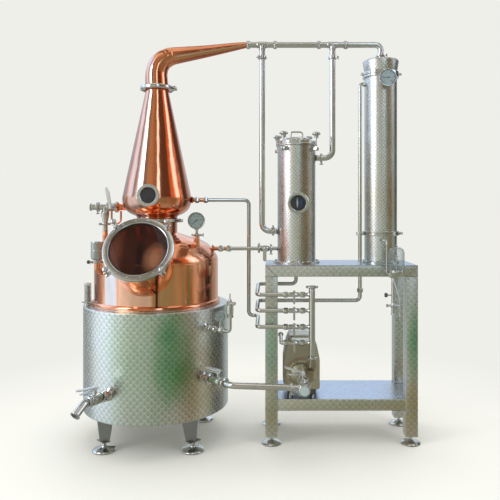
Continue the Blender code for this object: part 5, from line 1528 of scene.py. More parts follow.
# ============================================================ botanical column
COLUMN_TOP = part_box("column_lid")[0][2]
SIGHT = Vector((mid("column_sight_glass").x, -0.018, mid("column_sight_glass").z))
BOLT_REACH, BOLT_Z = 0.150, 1.8475  # pivots of the swing bolts
BOLT_ANGLES = (-35.0, 55.0, 145.0, 235.0)
lid_z = COLUMN_TOP
part = Piece("column_shell", "pearl", "basket_column")
part.solid(carve(
    turned_solid([(0, lid_z - 0.0003), (0.1325, lid_z - 0.0003), (0.134, lid_z - 0.0015),
                  (0.134, lid_z - 0.0095), (0.1325, lid_z - 0.0105),
                  (COLUMN_RADIUS + 0.0015, lid_z - 0.0112), (COLUMN_RADIUS, lid_z - 0.013),
                  (COLUMN_RADIUS, 1.1275), (COLUMN_RADIUS + 0.002, 1.1253), (0.152, 1.125),
                  (0.153, 1.124), (0.153, STAND_TOP + 0.0003), (0, STAND_TOP + 0.0003)],
                 COLUMN, Z, 128),
    added=[turned_solid([(0, -0.0105), (0.0585, -0.0105), (0.0585, -0.07), (0, -0.07)],
                        SIGHT, -Y, 64)],
    removed=[
        turned_solid([(0, 0.02), (0.049, 0.02), (0.049, -0.045), (0, -0.045)], SIGHT, -Y, 60),
        turned_solid([(0, lid_z + 0.02), (COLUMN_RADIUS - 0.003, lid_z + 0.02),
                      (COLUMN_RADIUS - 0.003, 1.119), (0, 1.119)], COLUMN, Z, 128)]))
unroll(part.done(30), COLUMN, COLUMN_RADIUS)


def lug_frame(degrees):
    """Frame on the column's axis with x towards a swing bolt."""
    return Matrix.Translation(COLUMN) @ Matrix.Rotation(math.radians(degrees), 4, "Z")


part = Piece("column_fittings", "steel")
part.lathe([(0.0492, -0.0004), (0.052, 0.0), (0.064, 0.0), (0.0675, -0.003), (0.0675, -0.010),
            (0.066, -0.0115), (0.0492, -0.0115)], SIGHT, -Y, 64, ring=True, soft=0.001)
for spot in bolt_circle(SIGHT, 0.058, 8):
    part.nut(spot, -Y, 0.0038, -0.0005, 0.0038, 0.0006)
for spot in bolt_circle(COLUMN, 0.139, 12, X, Y):
    part.nut(spot, Z, 0.0062, 1.1262, 1.1325, 0.0008)
    part.disc(spot, Z, 0.0078, 1.1248, 1.1265, 20, 0.0003)
for degrees in BOLT_ANGLES:
    matrix = lug_frame(degrees)
    for side in (-1, 1):
        part.block((0.1205, side * 0.0112 - 0.0024, 1.8355),
                   (0.1615, side * 0.0112 + 0.0024, 1.8595), 0.0016, matrix, 3)
    for side in (-1, 1):
        part.nut(matrix @ Vector((BOLT_REACH, 0, BOLT_Z)), matrix.to_3x3() @ Y * side,
                 0.0046, 0.0136, 0.0168, 0.0006)
part.torus(COLUMN + Z * 1.1275, Z, COLUMN_RADIUS + 0.0004, 0.0018, 96, 8)
part.torus(COLUMN + Z * (COLUMN_TOP - 0.0125), Z, COLUMN_RADIUS + 0.0004, 0.0014, 96, 8)
part.done()
part = Piece("column_sight_pane", "glass", "column_sight_glass")
part.lathe([(0, -0.0028), (0.040, -0.0028), (0.0485, -0.0038), (0.0485, -0.010), (0, -0.010)],
           SIGHT, -Y, 64)
part.done()
part = Piece("column_sight_seal", "black")
part.torus(SIGHT + Y * 0.0022, Y, 0.0488, 0.0013, 64, 8)
part.done()

LID = "column_lid"
part = Piece("column_lid_plate", "steel", LID, body=LID)
part.lathe([(0, 1.930), (0.030, 1.9297), (0.058, 1.928), (0.078, 1.9235), (0.091, 1.9165),
            (0.0975, 1.908), (0.100, 1.901), (0.102, 1.8998), (0.1325, 1.8998),
            (0.134, 1.8985), (0.134, COLUMN_TOP + 0.0012), (0.1325, COLUMN_TOP + 0.0003),
            (0, COLUMN_TOP + 0.0003)], COLUMN, Z, 128)
part.pipe([COLUMN + Vector((x, 0, z)) for x, z in (
    (-0.038, 1.922), (-0.038, 1.966), (0.038, 1.966), (0.038, 1.922))], 0.006, 0.016)
for side in (-1, 1):
    part.lathe([(0, 1.932), (0.0085, 1.9315), (0.012, 1.928), (0.012, 1.925), (0, 1.925)],
               COLUMN + X * (side * 0.038), Z, 28)
part.done()
part = Piece("column_lid_seal", "white", body=LID)
part.lathe([(0.1335, COLUMN_TOP + 0.0026), (0.1346, COLUMN_TOP + 0.0016),
            (0.1346, COLUMN_TOP + 0.0003), (0.125, COLUMN_TOP + 0.0003),
            (0.125, COLUMN_TOP + 0.0026)], COLUMN, Z, 96, ring=True)
part.done()

# basket riding with the lid: hoops, upright wires, floor, rim and bail
BASKET_RADIUS, BAIL_REACH = 0.1085, 0.1092
part = Piece("basket_body", "satin", "botanical_basket", body=LID)
for i in range(15):
    part.torus(COLUMN + Z * (1.404 + 0.0325 * i), Z, BASKET_RADIUS, 0.0016 if i else 0.0024,
               48, 6)
for k in range(36):
    spot = around(COLUMN, BASKET_RADIUS, 10 * k)
    part.tube([spot + Z * 1.402, spot + Z * 1.862], 0.0012, 6)
part.lathe([(0, 1.4045), (0.108, 1.4045), (0.109, 1.4035), (0.109, 1.4015), (0.108, 1.4005),
            (0, 1.4005)], COLUMN, Z, 64)
part.lathe([(0.1075, 1.866), (0.1108, 1.865), (0.1108, 1.849), (0.1075, 1.848)],
           COLUMN, Z, 64, ring=True)
part.pipe([COLUMN + Vector((x, 0, z)) for x, z in (
    (-BAIL_REACH, 1.852), (-BAIL_REACH, 1.877), (BAIL_REACH, 1.877), (BAIL_REACH, 1.852))],
    0.0038, 0.012, 6, 14)
part.disc(COLUMN, Z, 0.006, 1.8765, 1.8815, 20)
part.done()
for k, degrees in enumerate(BOLT_ANGLES, 1):
    matrix = lug_frame(degrees)
    spot = matrix @ Vector((BOLT_REACH, 0, BOLT_Z))
    node = "lid_clamp_%d" % k
    part = Piece("lid_swing_bolt_%d" % k, "steel", node, body=node)
    part.disc(spot, matrix.to_3x3() @ Y, 0.007, -0.0078, 0.0078, 28, 0.001)
    part.disc(spot, Z, 0.0042, 0.0, 0.080, 20, 0.0003)
    part.thread(spot, Z, 0.050, 0.0022, 9, 0.0041, 0.0006, 16)
    part.lathe([(0, 0.0722), (0.0165, 0.0716), (0.017, 0.070), (0.0165, 0.0684), (0, 0.068)],
               spot, Z, 32)
    part.lathe([(0, 0.1085), (0.010, 0.108), (0.0195, 0.1058), (0.0255, 0.1015),
                (0.0275, 0.096), (0.0268, 0.0905), (0.0225, 0.0868), (0.0165, 0.0845),
                (0.0145, 0.080), (0.014, 0.0722), (0, 0.0722)], spot, Z, 36, soft=0.0008)
    part.done()

# ============================================================ condenser
CONDENSER_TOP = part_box("condenser_cap")[0][2] - 0.0003
SHELL_RADIUS = 0.105
part = Piece("condenser_column", "pearl", "condenser_shell")
part.lathe([(SHELL_RADIUS - 0.003, CONDENSER_TOP), (SHELL_RADIUS, CONDENSER_TOP),
            (SHELL_RADIUS, 1.115), (SHELL_RADIUS - 0.003, 1.115)], CONDENSER, Z, 128, ring=True)
unroll(part.done(30), CONDENSER, SHELL_RADIUS)
part = Piece("condenser_rings", "steel")
part.lathe([(SHELL_RADIUS - 0.001, CONDENSER_TOP - 0.0002), (0.1155, CONDENSER_TOP - 0.0002),
            (0.117, CONDENSER_TOP - 0.002), (0.117, CONDENSER_TOP - 0.0135),
            (0.115, CONDENSER_TOP - 0.016), (SHELL_RADIUS - 0.001, CONDENSER_TOP - 0.0165)],
           CONDENSER, Z, 128, ring=True)
part.lathe([(SHELL_RADIUS - 0.001, 1.320), (0.115, 1.319), (0.117, 1.317), (0.117, 1.3075),
            (0.112, 1.3062), (0.112, 1.3038), (0.117, 1.3025), (0.117, 1.2925),
            (0.115, 1.2905), (SHELL_RADIUS - 0.001, 1.2895)],
           CONDENSER, Z, 128, ring=True, soft=0.0006)
part.lathe([(0, 1.1252), (0.1185, 1.125), (0.120, 1.1238), (0.120, STAND_TOP + 0.0004),
            (0, STAND_TOP + 0.0004)], CONDENSER, Z, 128)
part.torus(CONDENSER + Z * 1.1268, Z, SHELL_RADIUS + 0.0006, 0.002, 96, 8)
for spot in bolt_circle(CONDENSER, 0.1135, 8, X, Y):
    part.nut(spot, Z, 0.0048, 1.125, 1.1305, 0.0006)
lug = CONDENSER + Vector((0.112, -0.020, 1.305))
part.block(lug - Vector((0.004, 0.012, 0.011)), lug + Vector((0.010, 0.012, 0.011)), 0.002)
part.lathe([(0, 0.030), (0.006, 0.029), (0.0088, 0.024), (0.0088, 0.017), (0.0055, 0.011),
            (0.005, 0.0), (0, 0.0)], lug, X, 28, soft=0.0008)
part.done()
part = Piece("condenser_crown", "pearl", "condenser_cap")
part.lathe([(0.102, 2.3505), (0.1135, 2.4165), (0.1105, 2.4235), (0.058, 2.437),
            (0.0165, 2.4425), (0.0165, 2.447), (0.019, 2.447), (0.0205, 2.445), (0.060, 2.440),
            (0.112, 2.4262), (0.1155, 2.4215), (0.1165, 2.4165), (SHELL_RADIUS, 2.3505)],
           CONDENSER, Z, 128, ring=True)
unroll(part.done(30), CONDENSER, SHELL_RADIUS)
part = Piece("condenser_crown_band", "steel")
part.lathe([(SHELL_RADIUS - 0.004, 2.3522), (0.1155, 2.3512), (0.117, 2.349),
            (0.117, CONDENSER_TOP + 0.003), (0.1155, CONDENSER_TOP + 0.0006),
            (SHELL_RADIUS - 0.004, CONDENSER_TOP + 0.0006)],
           CONDENSER, Z, 128, ring=True, soft=0.0008)
part.torus(CONDENSER + Z * 2.4175, Z, 0.1158, 0.0012, 96, 8)
part.disc(CONDENSER, Z, 0.0192, 2.444, 2.464, 36)
for side in (-1, 1):
    lug = CONDENSER + Vector((side * 0.112, -0.010, 2.341))
    tip = lug.x + side * 0.012
    part.block((min(lug.x, tip) - 0.002, lug.y - 0.010, 2.333),
               (max(lug.x, tip), lug.y + 0.010, 2.349), 0.002)
    part.lathe([(0, 0.024), (0.0055, 0.0235), (0.0083, 0.019), (0.0083, 0.013), (0.005, 0.009),
                (0.0045, 0.0), (0, 0.0)], lug, X * side, 28, soft=0.0008)
part.done()
COIL_TURNS, COIL_STEPS, COIL_RADIUS = 6, 40, 0.070
COIL_BOTTOM, COIL_RISE = 1.180, 1.040
count = COIL_TURNS * COIL_STEPS
part = Piece("condenser_coil_tube", "copper", "condenser_coil")
part.tube([around(CONDENSER, COIL_RADIUS, 0, 1.127)]
          + [around(CONDENSER, COIL_RADIUS, 360 * i / COIL_STEPS,
                    COIL_BOTTOM + COIL_RISE * i / count) for i in range(count + 1)],
          0.0078, 14)
part.done()
THERMOMETER = mid("condenser_thermometer")
THERMOMETER.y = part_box("condenser_thermometer")[0][1]
dial("condenser_dial", "condenser_thermometer", THERMOMETER, 0.054, "condenser_needle",
     pointing=(-1.0, 0, -0.05), length=0.036)
part = Piece("condenser_dial_stem", "steel")
part.disc(THERMOMETER, Y, 0.008, 0.020, 0.054, 28)
part.nut(THERMOMETER, Y, 0.014, 0.028, 0.040)
part.lathe([(0.008, 0.056), (0.020, 0.052), (0.020, 0.047), (0.008, 0.0465)],
           THERMOMETER, Y, 32, ring=True, soft=0.001)
part.done()


# ============================================================ stand
LEG_SIZE = 0.077
# name, material, inset from the stand's outline, z range, edge radius, bevel segments
for name, material, inset, low, high, soft, segments in (
        ("stand_top", "pearl_stand", 0.0, STAND_TOP - 0.071, STAND_TOP, 0.0025, 3),
        ("stand_shelf", "pearl_stand", 0.003, 0.216, 0.285, 0.0025, 3)):
    part = Piece(name, material, "stand_frame" if name == "stand_top" else None)
    part.block((LEFT + inset, FRONT + inset, low), (RIGHT - inset, BACK - inset, high), soft,
               None, segments)
    part.done(40)
# upward faces of the top and the shelf, in the copy with the painted sky reflection
part = Piece("stand_sheets", "pearl_top_sky_tint")
for inset, low, high in ((0.0035, STAND_TOP - 0.0012, STAND_TOP + 0.0003),
                         (0.0065, 0.2838, 0.2853)):
    part.block((LEFT + inset, FRONT + inset, low), (RIGHT - inset, BACK - inset, high), 0.0004,
               None, 1)
part.done(40)
legs = Piece("stand_legs", "pearl_stand")
feet = Piece("stand_feet", "steel")
pads = Piece("stand_foot_pads", "black")
seams = Piece("stand_seams", "weld")
gaps = Piece("stand_joint_gaps", "dark")
for x in (LEFT, RIGHT - LEG_SIZE):
    for y in (FRONT, BACK - LEG_SIZE):
        x1, y1 = x + LEG_SIZE, y + LEG_SIZE
        legs.block((x, y, 0.050), (x1, y1, STAND_TOP - 0.0705), 0.003, None, 3)
        spot = Vector((x + LEG_SIZE / 2, y + LEG_SIZE / 2, 0))
        feet.disc(spot, Z, 0.0085, 0.018, 0.060, 24)
        feet.nut(spot, Z, 0.0155, 0.040, 0.050)
        feet.thread(spot, Z, 0.0265, 0.0028, 5, 0.0084, 0.0009, 20)
        feet.lathe([(0, 0.027), (0.012, 0.0262), (0.018, 0.0225), (0.030, 0.0205),
                    (0.045, 0.016), (0.056, 0.011), (0.062, 0.006), (0.062, 0.0035),
                    (0.060, 0.0025), (0, 0.0025)], spot, Z, 56)
        pads.disc(spot, Z, 0.0595, 0.0, 0.0028, 40)
        # weld fillets on the leg's front, left and right faces
        for z in (STAND_TOP - 0.0715, 0.2865, 0.215):
            seams.tube([(x, y - 0.0003, z), (x1, y - 0.0003, z)], 0.0012, 8)
            seams.tube([(x - 0.0003, y, z), (x - 0.0003, y1, z)], 0.0012, 8)
            seams.tube([(x1 + 0.0003, y, z), (x1 + 0.0003, y1, z)], 0.0012, 8)
# mitre lines on the top rail, then lines along the rail and under the shelf
for x, side in ((LEFT, 1), (RIGHT, -1)):
    gaps.tube([(x + side * 0.001, FRONT - 0.0001, STAND_TOP - 0.002),
               (x + side * 0.071, FRONT - 0.0001, STAND_TOP - 0.0705)], 0.0013, 8)
gaps.tube([(x, FRONT - 0.0001, STAND_TOP - 0.0022) for x in (LEFT + 0.004, RIGHT - 0.004)],
          0.0011, 8)
gaps.tube([(x, FRONT + 0.0026, 0.2145) for x in (LEFT + LEG_SIZE, RIGHT - LEG_SIZE)],
          0.0012, 8)
gaps.done()
legs.done(40)
feet.done()
pads.done()
seams.done()

# ============================================================ pump
COVER_FRONT, COVER_BACK = -0.0435, 0.213
# (x, z) round the cover, up the left side first
COVER_OUTLINE = [
    (0.216, 0.336), (0.2135, 0.350), (0.2135, 0.515), (0.218, 0.545), (0.232, 0.610),
    (0.243, 0.640), (0.262, 0.658), (0.290, 0.6645), (0.363, 0.6645), (0.391, 0.658),
    (0.410, 0.640), (0.421, 0.610), (0.435, 0.545), (0.4395, 0.515), (0.4395, 0.350),
    (0.437, 0.336), (0.425, 0.332), (0.228, 0.332)]
part = Piece("pump_cover", "khaki", "pump_motor")
cover = prism([(x, COVER_FRONT, z) for x, z in COVER_OUTLINE],
              [(x, COVER_BACK, z) for x, z in COVER_OUTLINE])
rims = [e for e in cover.edges if abs(e.verts[0].co.y - e.verts[1].co.y) < 1e-6]
bmesh.ops.bevel(cover, geom=rims, offset=0.010, segments=4, profile=0.6, affect="EDGES")
part.take(cover)
for i in range(9):
    z = 0.366 + 0.018 * i
    for x in (0.2118, 0.4412):
        part.block((x - 0.0012, 0.010, z - 0.003), (x + 0.0012, 0.185, z + 0.003), 0.0005)
part.done(40)
part = Piece("pump_terminal_box", "plate")
part.block((0.246, -0.018, 0.663), (0.371, 0.118, 0.690), 0.005, None, 4)
part.block((0.243, -0.021, 0.689), (0.374, 0.121, 0.7005), 0.004, None, 3)
part.block((0.262, -0.0465, 0.634), (0.390, -0.043, 0.657), 0.0015)
part.done(40)
part = Piece("pump_cover_screws", "steel")
for x in (0.252, 0.365):
    for y in (-0.012, 0.112):
        part.lathe([(0, 0.702), (0.004, 0.7016), (0.0045, 0.700), (0, 0.700)], (x, y, 0), Z, 24)
part.done()
PUMP_FEET_X = (0.255, 0.398)
part = Piece("pump_feet", "dark")
for x in PUMP_FEET_X:
    part.block((x - 0.018, -0.030, 0.2856), (x + 0.018, 0.190, 0.3345), 0.004, None, 3)
part.done()
part = Piece("pump_feet_bolts", "steel")
for x in PUMP_FEET_X:
    for y in (-0.034, 0.192):
        part.nut((x, y, 0), Z, 0.007, 0.2945, 0.301, 0.0008)
        part.disc((x, y, 0), Z, 0.010, 0.2853, 0.295, 24)
part.done()

PUMP_HEAD = Vector((TEE.x, -0.0453, 0.434))
RISER = Vector((0.3836, -0.135, 0))  # axis of the pump outlet and the manifold above it
part = Piece("pump_head_casing", "bronze", "pump_head")
part.lathe([(0, -0.030), (0.070, -0.030), (0.0715, -0.0345), (0.0715, -0.044), (0.069, -0.047),
            (0.056, -0.052), (0.050, -0.0575), (0.030, -0.063), (0.0245, -0.066),
            (0.0238, -0.072), (0.0238, -0.100), (0, -0.100)], PUMP_HEAD, Y, 96)
part.disc(before_pump(-0.1655), Y, 0.019, 0.0, 0.045, 36)
for spot in bolt_circle(PUMP_HEAD, 0.083, 8):
    part.nut(spot, -Y, 0.0055, 0.0335, 0.0405, 0.0008)
part.torus(PUMP_HEAD - Y * 0.0475, Y, 0.064, 0.002, 80, 8)
part.pipe([(RISER.x, -0.075, 0.470), (RISER.x, -0.100, 0.490), RISER + Z * 0.508,
           RISER + Z * 0.530], 0.0185, 0.03, 8, 32)
part.lathe([(0, 0.553), (0.0192, 0.553), (0.0192, 0.542), (0.025, 0.506), (0.0235, 0.496),
            (0, 0.493)], RISER)
part.done()
part = Piece("pump_adapter", "khaki")
part.lathe([(0.069, -0.001), (0.084, -0.001), (0.0865, -0.003), (0.0925, -0.007),
            (0.093, -0.012), (0.093, -0.029), (0.0915, -0.0335), (0.086, -0.035),
            (0.0735, -0.0352), (0.0722, -0.034), (0.069, -0.030)], PUMP_HEAD, Y, 96, ring=True)
part.done(40)
# raised band whose colour stands for the adapter's highlight along its top: a painted highlight
part = Piece("pump_adapter_highlight_band", "orange_highlight")
part.lathe([(0.0925, -0.015), (0.0936, -0.0154), (0.0936, -0.0206), (0.0925, -0.021)],
           PUMP_HEAD, Y, 96, ring=True)
part.done()
part = Piece("pump_inlet_clamp", "steel")
pipe_clamp(part, before_pump(-0.1656), Y, 0.0195, (1, 0, -0.4), 0.0285)
part.done()

# ============================================================ valve manifold
ROWS = (0.9386, 0.8411, 0.7425, 0.645)  # heights of the four valves, top first
VALVE_X = 0.274


def row_at(x, z):
    return Vector((x, RISER.y, z))


part = Piece("manifold_riser", "steel", "valve_manifold")
part.disc(RISER, Z, 0.019, 0.5533, 0.980, 40)
part.lathe([(0, 0.993), (0.029, 0.9925), (0.0375, 0.9905), (0.038, 0.988), (0.038, 0.983),
            (0.035, 0.980), (0.0215, 0.9785), (0.019, 0.976), (0, 0.976)], RISER, Z, 64)
for z in ROWS:
    valve = row_at(VALVE_X, z)
    part.tube([row_at(0.2126, z), row_at(RISER.x, z)], 0.011, 24)
    part.lathe([(0.0108, 0.0), (0.015, 0.0), (0.011, 0.007), (0.0108, 0.007)],
               row_at(RISER.x - 0.0182, z), -X, 28, ring=True)
    part.lathe([(0, 0.023), (0.0135, 0.0228), (0.0145, 0.016), (0.015, 0.013), (0.015, -0.013),
                (0.0145, -0.016), (0.0135, -0.0228), (0, -0.023)], valve, X, 8, soft=0.0015)
    for side in (-1, 1):
        part.nut(row_at(VALVE_X + side * 0.0225, z), X * side, 0.015, -0.002, 0.0075)
    part.disc(valve, -Y, 0.006, 0.010, 0.030, 20)
    part.nut(valve, -Y, 0.0088, 0.013, 0.0215, 0.0008)
OUTLET_END = Vector((0.196, 0.060, ROWS[3] + 0.010))
part.pipe([row_at(0.214, ROWS[3]), row_at(OUTLET_END.x, ROWS[3]), OUTLET_END], 0.011, 0.017,
          8, 24)
part.disc(OUTLET_END + Y * 0.004, Y, 0.0172, -0.003, 0.001)
part.done()
part = Piece("manifold_clamps", "steel")
pipe_clamp(part, RISER + Z * 0.5533, Z, 0.0192, (-1, -0.5, 0), 0.0275)
for z in ROWS:
    for x in (0.3264, 0.224):
        union_nut(part, row_at(x, z), X, 0.0125, 0.024)
        part.lathe([(0, 0.015), (0.0135, 0.015), (0.015, 0.013), (0.015, -0.013),
                    (0.0135, -0.015), (0, -0.015)], row_at(x, z), X, 28)
part.done()
for k, z in enumerate(ROWS, 1):
    node = "manifold_lever_%d" % k
    pivot = row_at(VALVE_X, z) - Y * 0.0303
    part = Piece("manifold_handle_%d" % k, "steel", node, body=node)
    part.lathe([(0, 0.0078), (0.0055, 0.0078), (0.006, 0.007), (0.006, 0.0058),
                (0.0078, 0.0056), (0.008, 0.0046), (0.008, 0.0004), (0, 0.0004)],
               pivot, -Y, 6, soft=0.0006, corner=2)
    line = [(-0.0295 + 0.084 * i / 12, 0.0046 + 0.0008 * math.sin(math.pi * i / 12))
            for i in range(13)]
    strip(part, oriented(-Z, -Y, pivot), line, 0.0128, 0.0024, tip=0.08)
    part.done()

# ============================================================ water lines
WATER_PIPE = 0.0125
ROW_END, TURN_X = 0.2123, 0.049  # where the rows join the lines, and where these turn back
FEED_X, FEED_Y, FEED_Z = 0.712, 0.100, 2.275
BASKET_WATER_Y = 0.190


def row_start(z):
    return [row_at(ROW_END, z), row_at(TURN_X, z)]


part = Piece("basket_water_line", "steel", "basket_water_pipe")
part.pipe(row_start(ROWS[0]) + [
    (TURN_X, BASKET_WATER_Y, 0.966), (COLUMN.x, BASKET_WATER_Y, 0.966),
    (COLUMN.x, BASKET_WATER_Y, STAND_TOP - 0.0004)], WATER_PIPE, 0.030, 10, 24)
part.done()
feed = Vector((FEED_X, FEED_Y, 0))
entry = (CONDENSER.x - SHELL_RADIUS * 0.985, CONDENSER.y - 0.002, FEED_Z)
part = Piece("condenser_feed_line", "steel", "condenser_feed_pipe")
part.pipe(row_start(ROWS[1]) + [(TURN_X, FEED_Y, 0.869), (FEED_X, FEED_Y, 0.869),
                                (FEED_X, FEED_Y, FEED_Z), entry], WATER_PIPE, 0.030, 10, 24)
part.lathe([(0.0122, 0.010), (0.015, 0.003), (0.019, -0.001), (0.0122, -0.002)],
           entry, feed - CONDENSER, 28, ring=True)
union_nut(part, feed + Z * 0.935, Z, 0.0132, 0.024)
part.disc(feed, Z, 0.0205, STAND_TOP + 0.0002, STAND_TOP + 0.003)
for z in (1.2965, 1.308):
    part.disc(feed, Z, 0.026, z - 0.0035, z + 0.0035)
part.done()
SPRAY_X, SPRAY_Y, SPRAY_Z = -0.0135, 0.175, 1.522
spray_root = Vector((POT.x + 0.15, POT.y, SPRAY_Z))
spray_axis = Vector((SPRAY_X - spray_root.x, SPRAY_Y - POT.y, 0)).normalized()
part = Piece("helmet_spray_line", "steel", "helmet_spray_pipe")
part.pipe(row_start(ROWS[2]) + [
    (TURN_X, SPRAY_Y, 0.759), (SPRAY_X, SPRAY_Y, 0.759), (SPRAY_X, SPRAY_Y, SPRAY_Z),
    spray_root + spray_axis * 0.165], WATER_PIPE, 0.028, 10, 24)
union_nut(part, spray_root + spray_axis * 0.165, spray_axis, 0.0138, 0.024)
part.done()
part = Piece("helmet_spray_stub", "copper")
part.tube([spray_root + spray_axis * 0.069, spray_root + spray_axis * 0.160], 0.0135, 28)
part.lathe([(0.0135, 0.014), (0.020, 0.006), (0.026, 0.001), (0.0135, -0.004)],
           spray_root + spray_axis * 0.0735, spray_axis, 32, ring=True)
part.done()
part = Piece("helmet_spray_union", "steel")
union_nut(part, spray_root + spray_axis * 0.108, spray_axis, 0.014, 0.024)
part.done()
part = Piece("small_line_rings", "satin")
for z in ROWS[:3]:
    for x in (0.182, 0.066):
        part.torus(row_at(x, z), X, 0.0126, 0.0009, 24, 6)
part.done()

# ============================================================ return line, column to pot
RETURN_Z = 1.205
return_root = Vector((-0.330, POT.y, RETURN_Z))
return_axis = (Vector((COLUMN.x - 0.09, COLUMN.y, RETURN_Z)) - return_root).normalized()


def return_at(x):
    return return_root + return_axis * ((x - return_root.x) / return_axis.x)


valve = return_at(0.093)
part = Piece("return_tube", "steel", "return_line")
part.tube([return_at(-0.141), return_at(COLUMN.x - COLUMN_RADIUS + 0.0015)], 0.0125, 28)
part.lathe([(0.0122, 0.009), (0.016, 0.003), (0.020, -0.001), (0.0122, -0.002)],
           return_at(COLUMN.x - COLUMN_RADIUS + 0.001), -return_axis, 32, ring=True)
union_nut(part, return_at(-0.141), return_axis, 0.0138, 0.026)
union_nut(part, return_at(-0.193), return_axis, 0.0138, 0.026)
part.lathe([(0, 0.0285), (0.015, 0.028), (0.0198, 0.020), (0.020, -0.020), (0.015, -0.028),
            (0, -0.0285)], valve, return_axis, 40, soft=0.0015)
part.disc(valve, -Y, 0.0078, 0.0, 0.034, 24)
part.nut(valve, -Y, 0.0115, 0.020, 0.029)
part.done()
part = Piece("return_stub", "copper")
part.tube([return_at(-0.253), return_at(-0.150)], 0.0132, 28)
part.lathe([(0.0132, 0.014), (0.021, 0.006), (0.028, 0.0), (0.0132, -0.005)],
           return_at(-0.248), return_axis, 32, ring=True)
part.done()
part = Piece("return_clamps", "steel")
pipe_clamp(part, return_at(0.055), return_axis, 0.0128, (0, -0.4, 1), 0.0232)
pipe_clamp(part, return_at(0.1335), return_axis, 0.0128, (0, -0.5, -1), 0.0232)
part.done()
pivot = valve - Y * 0.0343
part = Piece("return_paddle", "steel", "return_lever", body="return_lever")
part.lathe([(0, 0.010), (0.007, 0.0098), (0.0098, 0.008), (0.010, 0.0004), (0, 0.0004)],
           pivot, -Y, 32, soft=0.0006)
line = [(-0.022 + 0.104 * i / 14, 0.006 + 0.0012 * math.sin(math.pi * i / 14))
        for i in range(15)]
strip(part, oriented(-Z, -Y, pivot), line, 0.0235, 0.0028, tip=0.14)
part.done()

# ============================================================ spirit parrot
DOME = Vector((0.897, -0.142, 0))
POST = Vector((0.876, DOME.y, 0))
SUPPLY_X, SUPPLY_Z = 0.838, 1.265  # pipe from the condenser
part = Piece("parrot_frame", "steel", "parrot_body")
part.lathe([(0, 1.086), (0.040, 1.086), (0.0465, 1.0845), (0.047, 1.082), (0.0465, 1.0765),
            (0.042, 1.075), (0, 1.075)], DOME, Z, 56)
part.block(POST + Vector((-0.026, -0.020, 1.043)), POST + Vector((0.026, 0.020, 1.0765)),
           0.005, None, 4)
part.disc(POST, Z, 0.0105, 0.822, 1.050, 28)
part.lathe([(0, 0.826), (0.0125, 0.825), (0.015, 0.820), (0.014, 0.8165), (0, 0.816)],
           POST, Z, 32)
part.lathe([(0, 0.888), (0.012, 0.887), (0.015, 0.880), (0.015, 0.866), (0.012, 0.859),
            (0, 0.858)], POST, Z, 36)
part.disc(POST + Z * 0.873, -X, 0.0058, 0.0, 0.040, 20)
part.lathe([(0, 0.042), (0.0085, 0.041), (0.010, 0.036), (0.0085, 0.031), (0, 0.031)],
           POST + Z * 0.873, -X, 28)
part.disc(POST + Z * 0.937, -X, 0.0048, 0.0, 0.042, 20)
for z in (1.000, 0.965, 0.905):
    part.torus(POST + Z * z, Z, 0.0106, 0.0016, 32, 8)
spout = POST + Vector((0.036, -0.034, 0))
part.pipe([POST + Vector((-0.004, -0.010, 1.045)), spout + Z * 0.905, spout + Z * 0.810],
          0.0055, 0.03, 8, 18)
part.tube([spout + Z * 0.880, POST + Z * 0.873], 0.005, 16)
part.lathe([(0, 0.818), (0.0075, 0.8175), (0.008, 0.811), (0, 0.8105)], spout, Z, 24)
part.pipe([(SUPPLY_X, 0.0195, SUPPLY_Z), (SUPPLY_X, DOME.y, SUPPLY_Z),
           (SUPPLY_X, DOME.y, 1.060), POST + Z * 1.060], 0.006, 0.020, 10)
part.lathe([(0.0058, 0.008), (0.012, 0.0), (0.0058, -0.001)],
           (SUPPLY_X, 0.020, SUPPLY_Z), -Y, 24, ring=True)
part.lathe([(0, 1.242), (0.005, 1.241), (0.0072, 1.237), (0.005, 1.2325), (0.0045, 1.229),
            (0, 1.229)], DOME, Z, 28)
part.done()
part = Piece("parrot_knob", "dark")
part.lathe([(0, 0.006), (0.010, 0.0055), (0.0138, 0.002), (0.014, -0.006), (0.011, -0.0115),
            (0, -0.012)], POST + Vector((-0.046, 0, 0.937)), -X, 32, soft=0.001)
part.done()
part = Piece("parrot_dome", "clear", "parrot_glass")
part.lathe([(0, 1.230), (0.015, 1.2292), (0.0265, 1.2262), (0.036, 1.2205), (0.043, 1.212),
            (0.0475, 1.201), (0.049, 1.188), (0.049, 1.0866), (0.0455, 1.0866),
            (0.0455, 1.188), (0.044, 1.200), (0.040, 1.2095), (0.0335, 1.2175),
            (0.0245, 1.2228), (0.014, 1.2254), (0, 1.2262)], DOME, Z, 64)
part.done()
part = Piece("parrot_inner", "steel")
part.disc(DOME, Z, 0.006, 1.086, 1.175, 20)
part.lathe([(0, 1.179), (0.010, 1.178), (0.012, 1.174), (0.010, 1.170), (0, 1.170)],
           DOME, Z, 32)
part.torus(DOME + Z * 1.089, Z, 0.0475, 0.002, 56, 8)
part.done()


# ============================================================ floor
PAPER = (0.863, 0.863, 0.823)  # backdrop colour the floor fades into
grid = bmesh.new()
bmesh.ops.create_grid(grid, x_segments=1, y_segments=1, size=14.0)
mesh = bpy.data.meshes.new("floor")
grid.to_mesh(mesh)
grid.free()
floor = add_object("floor", mesh)
floor.location = (0, 0, -0.0006)


